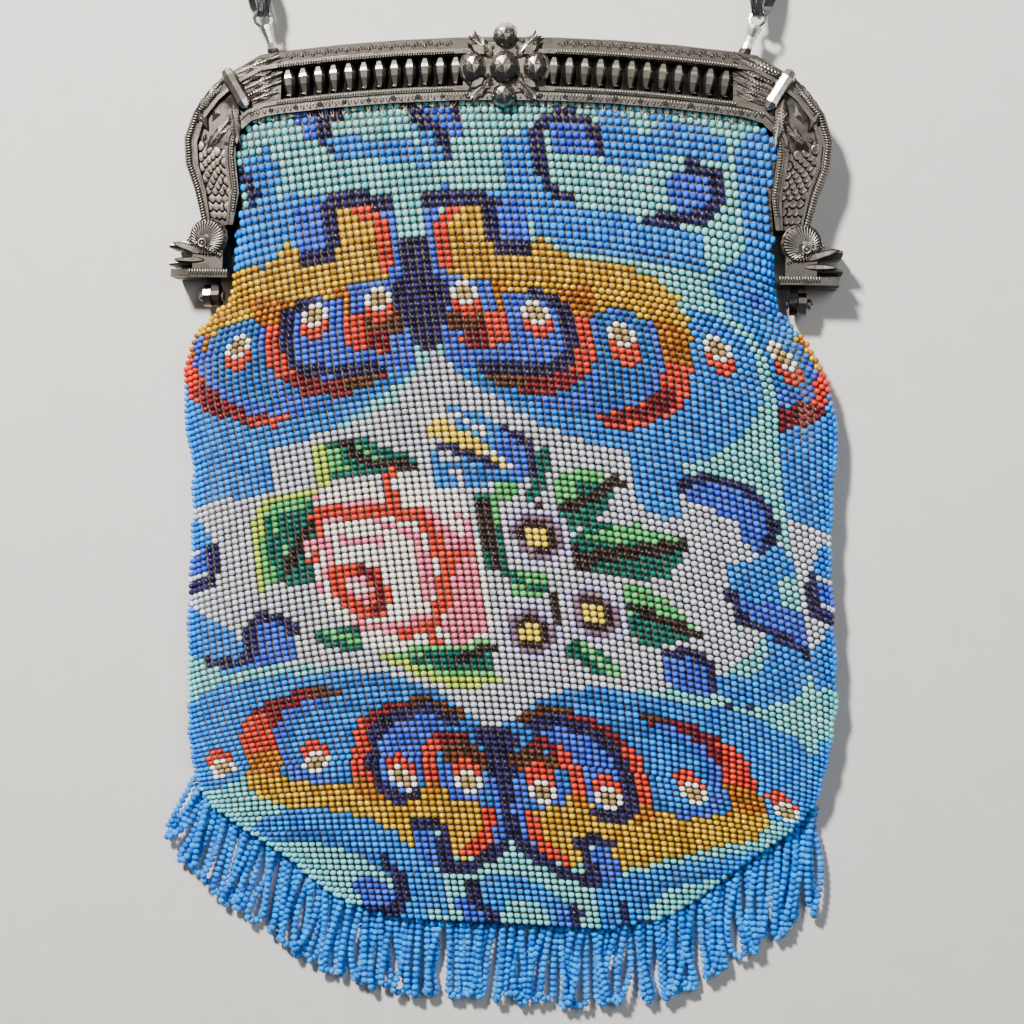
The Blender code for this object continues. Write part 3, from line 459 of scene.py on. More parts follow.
def silver(name, bright, tarnish, depth_source, dark=SILVER_DARK):
    """Silver with tarnish and painted shade in its depths. The depth comes from the height or from
    an attribute.
    """
    material, tree = new_material(name)
    place = place_of(material)
    group = use_group(material, TARNISH_AND_SHADE, place, {"Bright": bright, "Dark": dark})
    group.inputs["Tarnish"].default_value = tarnish
    if depth_source == "height":
        depth_by_height(material, group, place, bright)
    elif depth_source == "hollow":
        tree.links.new(values_of(material, "hollow"), group.inputs["Depth"])
    shader_of(material).inputs["Metallic"].default_value = 1.0
    bump(material, group.outputs["Height"], 0.00012, 0.5)
    return material


frame_silver = silver("frame_silver", (0.235, 0.21, 0.18), 0.5, "height")
relief_silver = silver("relief_silver", (0.37, 0.33, 0.285), 0.4, "hollow")
scale_silver = silver("scale_silver", (0.15, 0.13, 0.11), 0.5, "hollow")
# Punched rings are painted near black, as the shade and tarnish inside a dent.
dent_shade_silver = silver("dent_shade_silver", (0.05, 0.045, 0.04), 0.5, "none")
back_silver = silver("back_silver", (0.18, 0.165, 0.145), 0.45, "none")
chain_silver = silver("chain_silver", (0.22, 0.22, 0.225), 0.6, "none", (0.03, 0.03, 0.035))
cap_silver = silver("cap_silver", (0.42, 0.38, 0.335), 0.3, "none")

NODE_LOOKS = {
    "front_frame": frame_silver, "back_frame": back_silver, "clasp_button": cap_silver}
for node_name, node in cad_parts.items():
    if node_name in ("bag", "fringe"):
        continue
    look = NODE_LOOKS.get(node_name, chain_silver)
    node.data.materials.clear()
    node.data.materials.append(look)
print("Metal nodes dressed:", len(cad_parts) - 2)

# %% [markdown]
# The bag is knitted from tan silk with a glass bead in every stitch. Its cloth
# shows between the beads, so it is a thin wall of its own just under their
# tops. It is a copy of the bag's solid whose outer side is pulled in. Its
# colour has near-black patches, painted shadow of the beads above it.

# %% Tan knitted backing
CLOTH_INSET = 0.0013
JUST_OUTSIDE = 0.01
MERGE_DISTANCE = 0.00002


def knit_material():
    material, tree = new_material("tan_silk")
    place = place_of(material)
    grain = noise_node(tree, place, 1800.0)
    cloud = noise_node(tree, place, 90.0)
    pale = mix_node(tree, cloud, (0.20, 0.14, 0.08), (0.12, 0.085, 0.05))
    # Patches of the silk are painted near black, as the shadow that falls between the beads.
    painted_shadow = range_node(tree, grain, 0.40, 0.62)
    finish_plainly(material, mix_node(tree, painted_shadow, pale, (0.012, 0.010, 0.009)), 0.85)
    bump(material, grain, 0.0004, 0.8)
    return material


def knitted_backing():
    """A copy of the bag's solid with its outer side pulled in."""
    deselect()
    item = bpy.data.objects.new("bag_cloth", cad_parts["bag"].data.copy())
    bpy.context.scene.collection.objects.link(item)
    item.select_set(True)
    bpy.context.view_layer.objects.active = item
    edit_all()
    bpy.ops.mesh.remove_doubles(threshold=MERGE_DISTANCE)
    bpy.ops.object.mode_set(mode="OBJECT")
    walls = mesh_tree(item.data)
    moves = []
    for vertex in item.data.vertices:
        start = vertex.co + vertex.normal * JUST_OUTSIDE * MM
        is_outer = walls.ray_cast(start, vertex.normal)[0] is None
        moves.append(vertex.normal * (-CLOTH_INSET if is_outer else 0.0))
    for vertex, move in zip(item.data.vertices, moves):
        vertex.co += move
    item.data.shade_smooth()
    return item


backing = settle(knitted_backing(), "purse", knit_material())
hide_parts("bag")
print("Backing triangles:", triangles(backing.data))

# %% [markdown]
# The beads lie in rows that arch up in the middle, and their columns lean to
# the right going down. The rows are further apart near the rim, where the
# knitting is loose. A texture could show all this, but then the beads would
# have no tops, so every row is worked out as a curve over the bag.

# %% Levels and arch of the rows
ROW_PITCH = 0.00151
TOP_ROW_PITCH = 0.00187
TOP_ROWS = 18
TOP_BLEND = 10
FIRST_ROW = -0.0079
LAST_ROW = -0.2065
ARCH_TOP = 0.0075
ARCH = 0.0139
ARCH_END = 0.0030
ARCH_FULL = -0.050
ARCH_FROM = -0.135
ARCH_SPAN = 0.0773
CENTRE_LINE = (-0.0192, -0.04205, 0.1838)


def centre_x(y):
    """Where the pattern's centre line crosses one level."""
    x, level, lean = CENTRE_LINE
    return x + lean * (level - y)


def clamp(share):
    return min(1.0, max(0.0, share))


def ease(share):
    share = clamp(share)
    return share * share * (3 - 2 * share)


def row_arch(level):
    """How much lower a row is at the bag's sides than in its middle."""
    if level > ARCH_FROM:
        full = ease((FIRST_ROW - level) / (FIRST_ROW - ARCH_FULL))
        return ARCH_TOP + (ARCH - ARCH_TOP) * full
    return ARCH + (ARCH_END - ARCH) * ease((ARCH_FROM - level) / (ARCH_FROM - LAST_ROW))


def row_y(level, x):
    return level - row_arch(level) * (x / ARCH_SPAN) ** 2


def row_levels():
    """The middle level of every row, from the rim down."""
    levels = [FIRST_ROW]
    while levels[-1] > LAST_ROW:
        share = clamp((len(levels) - TOP_ROWS + TOP_BLEND / 2) / TOP_BLEND)
        levels.append(levels[-1] - (TOP_ROW_PITCH + (ROW_PITCH - TOP_ROW_PITCH) * share))
    return levels


print("Rows:", len(row_levels()))

# %% [markdown]
# A row is followed across the bag by dropping lines on the solid, from above
# and from below. That gives its height on both sides, and how steeply the
# surface slopes there.

# %% Following a row
SAMPLE = 0.00025
REACH_STEPS = 360
LEAST_SAMPLES = 8
SLOPE_WINDOW = 9
bag_tree = mesh_tree(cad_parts["bag"].data)


def smooth_slope(points):
    """Evens out the facets of the solid in the slopes of a row's points."""
    points = np.array(points)
    window = np.ones(SLOPE_WINDOW) / SLOPE_WINDOW
    padded = np.pad(points[:, 3], SLOPE_WINDOW // 2, mode="edge")
    points[:, 3] = np.convolve(padded, window, mode="valid")
    return points


def trace(level):
    """The stretches of one row that lie on the bag, left to right: points of
    the front and of the back, each with the surface's slope along Y."""
    stretches = []
    front = []
    back = []
    for step in range(-REACH_STEPS, REACH_STEPS + 1):
        x = step * SAMPLE
        y = row_y(level, x)
        hit, up = drop_line(bag_tree, x, y)
        if hit is not None:
            under, down = drop_line(bag_tree, x, y, 1)
            front.append((x, y, hit.z, up.y))
            back.append((x, y, under.z, down.y))
        if front and (hit is None or step == REACH_STEPS):
            if len(front) >= LEAST_SAMPLES:
                stretches.append((smooth_slope(front), smooth_slope(back)))
            front = []
            back = []
    return stretches


print("Width of the first row in mm:", in_mm(np.ptp(trace(FIRST_ROW)[0][0][:, :1], axis=0)))

# %% [markdown]
# The beads are spaced along a row at one pitch. A row below the rim goes all
# the way round the bag, and a row at the open mouth ends at both sides. The
# beads' centres lie half a bead inside the surface, so that their tops keep
# the bag's real outline.

# %% Spacing the beads along a row
BEAD_PITCH = 0.001767
WAY_REACH = 1.2 * BEAD_PITCH
END_SPACE = 0.45 * BEAD_PITCH
ROUND_COUNT = 180
FULL_ROUND = 0.97 * ROUND_COUNT * BEAD_PITCH
CHART_END = 45


def along(points):
    """Distance along a line of points, from its first one."""
    steps = np.diff(points[:, :3], axis=0)
    return np.concatenate([[0.0], np.cumsum(np.linalg.norm(steps, axis=1))])


def walk(points, lengths, wanted):
    return np.stack([np.interp(wanted, lengths, line) for line in points.T], 1)


def heading(points, lengths, wanted, reach):
    """The way that a line of points runs at some distances along it."""
    ahead = walk(points, lengths, np.minimum(wanted + reach, lengths[-1]))
    return ahead - walk(points, lengths, np.maximum(wanted - reach, 0.0))


def start_of(level, points, lengths):
    """Distance along a stretch at which the pattern's centre line is met."""
    cross = centre_x(row_y(level, centre_x(level)))
    x = points[:, 0]
    outside = max(0.0, cross - x[-1]) + min(0.0, cross - x[0])
    return np.interp(cross, x, lengths[: len(points)]) + outside


def loop_beads(front, back, level, right_end):
    """Bead places of a row that goes all the way round, with the columns'
    numbers, the directions along the row and which beads are in front."""
    loop = np.vstack([front, back[::-1], front[:1]])
    lengths = along(loop)
    total = lengths[-1]
    count = ROUND_COUNT if total > FULL_ROUND else round(total / BEAD_PITCH)
    number = np.arange(count)
    wanted = (start_of(level, front, lengths) + (number + 0.5) * total / count) % total
    ahead = walk(loop, lengths, (wanted + WAY_REACH) % total)
    behind = walk(loop, lengths, (wanted - WAY_REACH) % total)
    half = count / 2
    number = np.where(number >= half, number - count, number)
    is_front = (number >= -CHART_END) & (number < right_end)
    past_right = (right_end - 2 * CHART_END) * (half - number) / (half - right_end)
    past_left = CHART_END * (half + number) / (half - CHART_END)
    column = np.where(is_front, number, np.where(number > 0, past_right, past_left))
    return walk(loop, lengths, wanted), column, ahead - behind, is_front


def open_beads(points, level, is_front):
    """Bead places of a row that ends at the rim on both sides."""
    lengths = along(points)
    start = start_of(level, points, lengths)
    low = math.ceil((END_SPACE - start) / BEAD_PITCH - 0.5)
    high = math.floor((lengths[-1] - END_SPACE - start) / BEAD_PITCH - 0.5)
    column = np.arange(low, high + 1)
    wanted = start + (column + 0.5) * BEAD_PITCH
    way = heading(points, lengths, wanted, WAY_REACH)
    if not is_front:
        way = -way
        column = -1 - column
    return walk(points, lengths, wanted), column, way, np.full(len(wanted), is_front)


print("Beads of a full round:", ROUND_COUNT)

# %% All bead places
BEAD_INSET = 0.00072
MOST_SLOPE = 0.8
CLOSED_GAP = 0.0030
WIDE_END = 52
WIDE_ROWS = 27
FLOOR_SIDE = -0.25


def unit(vectors):
    """The same directions, each one unit long."""
    return vectors / np.linalg.norm(vectors, axis=1)[:, None]


def row_parts(row, level):
    """Every stretch of beads in one row."""
    for front, back in trace(level):
        ends = [front[0, 2] - back[0, 2], front[-1, 2] - back[-1, 2]]
        if max(ends) < CLOSED_GAP:
            yield loop_beads(front, back, level, WIDE_END if row < WIDE_ROWS else CHART_END)
        else:
            yield open_beads(front, level, True)
            yield open_beads(back, level, False)


def lay_beads():
    """All bead centres, with column, row, direction, normal, side and step."""
    found = []
    for row, level in enumerate(row_levels()):
        pitch = TOP_ROW_PITCH if row < TOP_ROWS else ROW_PITCH
        for places, column, way, is_front in row_parts(row, level):
            way = unit(way[:, :3])
            slope = np.clip(places[:, 3], -MOST_SLOPE, MOST_SLOPE)
            normal = unit(np.stack([-way[:, 2], slope, way[:, 0]], 1))
            x = places[:, 0]
            step = (row_y(level, x) - row_y(level - pitch, x)) / np.sqrt(1 - slope**2)
            found.append((places[:, :3] - normal * BEAD_INSET, column,
                          np.full(len(column), row), way, normal, is_front, step))
    return [np.concatenate(parts) for parts in zip(*found)]


bead_at, bead_column, bead_row, bead_way, bead_normal, bead_front, bead_step = lay_beads()
faces_floor = bead_normal[:, 2] < FLOOR_SIDE
print("Beads:", len(bead_at), "on the front:", int(bead_front.sum()))
print("Columns on the front:", bead_column[bead_front].min(), "to", bead_column[bead_front].max())
print("Beads that face the floor:", int(faces_floor.sum()))

# %% [markdown]
# The pattern is counted out in beads, as on a knitter's chart: a place is a
# column, counted from the pattern's centre line, and a row, counted from the
# rim. Each shape is one colour, a filled area or a line of some width, and a
# later shape covers the earlier ones. The left wings are the right ones turned
# over the centre line, and the back of the bag is worked from the same chart.

# %% Chart of the pattern: ground and scrolls
# The pearl grey medallion, its side scrolls and the aqua beyond it
GROUND = (
    ("pearl", 0, ((-100, 50), (-42.9, 51.8), (-37.1, 49.9), (-32.9, 50), (-30.7, 54.6),
        (-25.4, 54.6), (-25.4, 47.5), (-15.7, 47.5), (-7.1, 44.3), (0, 35.7), (3.3, 41.4),
        (9.7, 44.3), (14, 47.9), (20.4, 50), (24.7, 50.7), (30.4, 55), (45, 57.9), (39, 63.6),
        (35.1, 64.6), (34.7, 68.6), (34.7, 73.6), (39, 73.2), (36.1, 77.1), (31.1, 82.1),
        (24.4, 86.4), (13.3, 89.3), (6.1, 93.6), (0.1, 100.7), (-5.7, 94.3), (-17.9, 85.7),
        (-26.4, 83.7), (-30.7, 82.1), (-38.2, 78.9), (-45, 74.3))),
    ("aqua", 0, ((34, 49.3), (37.6, 45.7), (41.1, 40), (49, 35.7), (49, 85.7), (41.9, 85.7),
        (39, 80), (41.9, 73.6), (45, 73.6), (45, 67.9), (41.1, 63.6), (44.7, 61.4), (45, 52.9),
        (34.7, 51.4))),
    ("sky", 0, ((23.6, 50), (30.4, 50), (31.5, 52.9), (30.4, 55.4), (29.9, 58.7), (27.6, 59.9),
        (24.1, 58.2))),
    ("cobalt", 0, ((30.4, 55), (31.5, 52.7), (34.7, 51.8), (39, 51.4), (41.9, 53.2), (42.7, 56.1),
        (42.2, 58.7), (40.4, 60.9), (38.6, 60.4), (38.3, 57.9), (36.1, 56.6), (32.6, 56.3))),
    ("navy", 1.5, ((30.4, 54.6), (31.5, 52.7), (34.7, 51.6), (39, 51.4), (41.9, 53.1),
        (42.9, 55.9), (42.2, 58.7), (40.4, 60.9))),
    ("sky", 0, ((35.1, 64.6), (38.1, 63.2), (39.9, 61.1), (42.6, 59.1), (44.7, 60), (45, 62.9),
        (41.9, 63.9), (41.6, 67.9), (37.9, 68.9), (35.1, 68.2))),
    ("cobalt", 0, ((35.8, 69.6), (38.1, 68.6), (41.9, 67.7), (45.4, 68), (45.4, 73.6), (39, 72.3),
        (36.5, 72.9))),
    ("navy", 1.6, ((35.1, 68.9), (36.1, 72.5), (38.1, 72.5), (41.9, 73), (45.4, 74.4))),
    ("sky", 0, ((39, 73.4), (43.3, 73.9), (45, 75.7), (43.6, 79.3), (41.1, 82.1), (37.6, 84.6),
        (34, 85.7), (30.8, 84.6), (31.5, 82.1), (36.1, 80.7), (38.6, 77.1))),
    ("navy", 0, ((27.6, 79.7), (30.4, 80), (31.5, 82.9), (30.4, 85.7), (32.6, 85.7), (36.1, 85.4),
        (32.6, 86.8), (29.7, 85.7), (29.4, 82.9))),
    ("cobalt", 0, ((24.6, 80.7), (27.6, 80.1), (29.6, 81.4), (29.7, 85.7), (25.4, 86.1),
        (24.1, 84.3))),
    ("navy", 1.2, ((24.6, 80.6), (27.6, 79.7), (30.4, 80.1))),
    ("sky", 0, ((-45.7, 35.7), (-45.7, 55.4), (-44.3, 54.3), (-42.9, 51.8), (-37.1, 49.9),
        (-32.5, 50), (-30.7, 54.6), (-25.4, 54.6), (-25.4, 47.5), (-26.4, 44.3), (-35.7, 37.1))),
    ("cobalt", 0, ((-40.7, 49.6), (-39.3, 46.8), (-36.4, 45.7), (-32.5, 47.9), (-32.5, 50),
        (-35.7, 49.6), (-38.6, 50))),
    ("navy", 1.5, ((-41.4, 49.6), (-39.4, 46.6), (-36.4, 45.4), (-32.9, 47.5), (-32.1, 49.9))),
    ("sky", 0, ((-38.9, 55.4), (-36.4, 56.8), (-34.9, 60.7), (-42.1, 60.7), (-41.1, 57.9))),
    ("cobalt", 0, ((-42.5, 61.8), (-35.4, 61.4), (-35.4, 64.6), (-42.9, 64.6))),
    ("navy", 1.5, ((-35.1, 61.4), (-35.1, 64.6), (-35.4, 67.7), (-43.6, 67.7), (-43, 64.3),
        (-42.3, 61.8))),
    ("navy", 1.6, ((-43.2, 66.4), (-35.4, 66.4))),
    ("sky", 0, ((-40.7, 68.2), (-38.2, 71.4), (-33.6, 75.7), (-31.8, 80), (-30.7, 82.9),
        (-45, 82.9), (-45.7, 74.3), (-42.9, 71.4))),
    ("aqua", 0, ((-45.7, 78.9), (-42.1, 77.7), (-38.6, 78.9), (-35.7, 81.1), (-36.4, 82.9),
        (-45.7, 83.6))),
    ("cobalt", 0, ((-31.3, 76.8), (-28.6, 76.1), (-25, 76.8), (-24.6, 80.7), (-25.7, 82.9),
        (-31.1, 82.9))),
    ("navy", 1.6, ((-25, 77.9), (-26.4, 75.7), (-29.3, 75.1), (-31.3, 76.8), (-30.9, 80),
        (-32.9, 81.8), (-37.5, 80))),
)

# Scrolls under the frame
RIM_SCROLLS = (
    ("sky", 0, ((-22.9, 5), (-19.3, 4.3), (-17.9, 7.9), (-19.3, 10.7), (-25, 10.7), (-25, 13.2),
        (-24.3, 8.6))),
    ("sky", 0, ((-25, 10.7), (-19.3, 10.7), (-14.3, 13.2), (-17.9, 17.1), (-20, 18.9), (-25, 19.3),
        (-32.1, 19.3), (-35, 17.1), (-39.3, 15.4), (-45.7, 14.3), (-45.7, 12.9), (-35.7, 12.9))),
    ("aqua", 0, ((-28, 8.5), (-24.5, 8.5), (-23, 9.8), (-23.8, 11.5), (-24.5, 13), (-26, 14),
        (-28, 14))),
    ("navy", 1.3, ((-24.2, 6), (-22, 9.2), (-22.4, 10.5), (-23.8, 12), (-24.3, 13.4))),
    ("cobalt", 0, ((-15, -1.4), (-10, -1.4), (-10.9, 3.9), (-13.6, 3.6), (-15.1, 1.4))),
    ("navy", 1.7, ((-12.9, -1.4), (-11.1, 2.1), (-10.7, 5.1))),
    ("navy", 1.4, ((-8.9, 0), (-8.9, 1.4))),
    ("sky", 0, ((-10.9, 3.9), (-5.7, 4.6), (1, 5.4), (1.1, 5.7), (3.3, 8.9), (0.4, 8.4),
        (-4.3, 7.5), (-10, 6.8))),
    ("sky", 1.6, ((2.2, 3.6), (4, 7.1))),
    ("cobalt", 0, ((3.3, 1.1), (7.6, 1.1), (7.6, 5), (5.4, 4.4), (3.6, 3.6))),
    ("navy", 1.6, ((1.1, 0.9), (2.6, 2.9), (4.4, 3.9), (5.6, 6.8))),
    ("navy", 1.3, ((7.2, 0.7), (7.9, 2.1))),
    ("sky", 0, ((12.6, 5), (17.2, 4.3), (17.7, 9.3), (18.3, 11.8), (22.6, 13.6), (29, 15),
        (22.6, 16.4), (16.1, 13.2), (12.9, 11.8))),
    ("cobalt", 0, ((19.7, 3.2), (25.4, 2.9), (26.5, 5.7), (24.7, 7.5), (20.4, 7.1))),
    ("navy", 1.6, ((26.5, 6.1), (26.1, 3.2), (22.6, 2), (19.4, 2.9), (18.1, 5), (17.9, 9.3),
        (19, 11.8), (21.1, 12.7))),
    ("sky", 0, ((26.9, 1.4), (36.1, 1.4), (44.7, 2.9), (43.3, 6.4), (39, 5.7), (34.7, 6.4),
        (30.4, 8.6), (27.2, 8.4))),
    ("aqua", 0, ((29.7, 1.4), (32.6, 0.7), (35.4, 2.9), (32.6, 4.3))),
    ("cobalt", 0, ((34.7, 9.3), (37.6, 7.5), (40.8, 7.7), (41.9, 10.7), (39.7, 12.9),
        (36.1, 13.2))),
    ("navy", 1.6, ((39, 7.1), (41.9, 7.9), (42.1, 10.7), (39.7, 12.9), (35.4, 13.9),
        (31.9, 14.6))),
    ("sky", 0, ((45.4, 4.3), (50.4, 0), (56, 0), (56, 28), (46, 27.5), (41.5, 24.5), (39, 21.5),
        (42, 18.5), (44.6, 15.5), (44.7, 10.7))),
    ("cobalt", 0, ((44.5, 21.5), (46.5, 21), (46.8, 23), (44.8, 23.4))),
)

# %% Chart of the pattern: wings
# The right upper wing
UPPER_WING = (
    ("cobalt", 0, ((1.5, 24), (9, 25), (20, 25), (34, 27), (34, 34), (30, 42), (22, 46), (4, 41),
        (1, 37))),
    ("sky", 0, ((34.7, 27), (37.2, 25.9), (40.8, 26.3), (42.7, 28.6), (43.3, 33.6), (42.4, 38.6),
        (40.3, 42.9), (36.9, 46.8), (34, 49.3), (30.4, 50.4), (19.7, 50), (13.6, 48.2), (9, 45.4),
        (4.7, 42.1), (1.1, 38.6), (13.3, 38.6), (33.3, 33.6))),
    ("mid", 0, ((22.2, 28.9), (29.9, 28), (30.1, 35.7), (28.9, 40.6), (26, 43.9), (22.6, 46.1),
        (16.9, 45.7), (11.1, 44.4), (5.8, 42.1), (3.3, 40), (16.1, 42.1), (19.7, 39.3),
        (21.3, 35.7))),
    ("cobalt", 1.6, ((29.4, 28.6), (29.7, 35), (28.1, 40), (25.1, 43.2), (21.9, 44.6),
        (16.9, 43.9), (12.6, 43.7))),
    ("cobalt", 1.4, ((20.8, 38.6), (19.4, 42.1), (16.1, 43.7))),
    ("coral", 0, ((29.7, 34.1), (33.6, 34.1), (33.3, 38.6), (31.3, 42.3), (27.7, 44.9),
        (24.1, 46.9), (21.7, 46.8), (19.9, 45.7), (22.6, 44.4), (26.1, 42.7), (28.4, 40),
        (29.6, 37.1))),
    ("dark_red", 0, ((29, 38.6), (31.5, 38.9), (30.4, 42.3), (27.2, 44.4), (23.6, 45.7),
        (20.4, 45.4), (22.9, 44.4), (26.5, 42.7), (28.3, 40.4))),
    ("gold", 0, ((15.8, 17.5), (19.9, 20.6), (26.1, 20.7), (31.1, 22.1), (34.7, 24.4),
        (35.7, 27.9), (34.4, 31.4), (33.8, 34.3), (29.7, 35), (29.7, 29.1), (26.1, 28),
        (22.6, 28.7), (19.7, 30), (17.7, 28), (14.4, 26.6), (10.8, 27.5), (9.7, 30), (8.6, 28.6),
        (8.6, 25), (3.3, 24.3), (2.9, 16.4), (4.7, 13.9), (10.1, 13), (9.7, 17.1), (10.6, 20.7),
        (15.1, 20.7))),
    ("amber", 0, ((18.1, 25.7), (22.6, 25.4), (22.9, 28.7), (21.3, 30.4), (18.4, 30.4))),
    ("amber", 0, ((29.7, 28.9), (34.3, 28.9), (33.8, 34.6), (29.7, 35))),
    ("amber", 0, ((8.6, 24.6), (10.8, 24.6), (10.8, 27.7), (9.7, 30.4), (8.9, 30.4))),
    ("cobalt", 0, ((10.4, 27.5), (14.4, 26.6), (17.7, 28), (19.1, 30.7), (19, 35), (17.4, 38.2),
        (13.6, 40), (6.9, 40), (2.2, 38.9), (1.5, 35.7), (7.6, 36.1), (10.4, 34.3))),
    ("navy", 1.8, ((15.1, 27), (17.7, 28.6), (18.4, 32.1), (17.7, 36.4), (15.1, 38.6), (9.7, 39.1),
        (6.1, 38.9))),
    ("coral", 0, ((18.6, 30.4), (21.1, 30.4), (20.9, 35.7), (19.6, 39.3), (16.9, 41.3), (16.1, 40),
        (17.7, 37.5), (18.7, 34.3))),
    ("dark_red", 0, ((17.2, 38.6), (19.9, 38.6), (16.5, 42.3), (11.9, 43), (7.6, 41.8), (5.4, 40),
        (9.7, 40.1), (14, 40))),
    ("brown", 0, ((5.1, 39.7), (11.1, 40.3), (10.8, 42.1), (7.6, 41.6))),
    ("coral", 0, ((7.2, 30), (9.9, 30), (10.1, 34.3), (7.6, 36.1), (4, 36.1), (3.3, 34.3),
        (6.9, 33.6))),
    ("dark_red", 0, ((3.3, 32.1), (7.4, 31.4), (7, 35.7), (4, 36.1))),
    ("brown", 0, ((1.5, 29.6), (7, 30), (7, 32.3), (1.9, 33.6))),
    ("cobalt", 0, ((2.6, 25.1), (6.1, 24.6), (8.9, 25.4), (8.9, 28.6), (7, 30.4), (4.4, 30),
        (2.6, 28.6))),
    ("navy", 0, ((-1, 17.9), (2.6, 17.1), (2.9, 23.6), (2.6, 28.6), (1.1, 33.6), (-1, 37.1))),
    ("cobalt", 1.5, ((2.2, 14.3), (1.4, 17.9), (1.9, 22.9), (3.3, 25))),
    ("cobalt", 1.3, ((4.4, 12.1), (2.2, 14.3))),
    ("coral", 1.7, ((6.1, 13.7), (3.4, 15.7), (2.4, 18.2), (3.1, 22.1))),
    ("coral", 1.2, ((3.3, 16.8), (3.6, 20.7))),
    ("cobalt", 0, ((10.8, 13.2), (14.9, 13), (15, 20.4), (11.9, 20.4), (10.4, 17.9))),
    ("navy", 1.9, ((1.5, 13.2), (6.1, 12.5), (10.6, 13), (9.9, 17.1), (10.8, 20), (14.4, 20.3))),
    ("navy", 1.2, ((10.4, 13), (15.1, 12.6))),
    ("sky", 0, ((9.7, 11.6), (15.4, 12), (22.6, 13.6), (30.4, 14.6), (39, 14.6), (39, 20.4),
        (30.4, 20.4), (22.6, 20), (19.7, 20), (15.8, 17), (14.9, 13.2), (9.7, 12.7))),
)

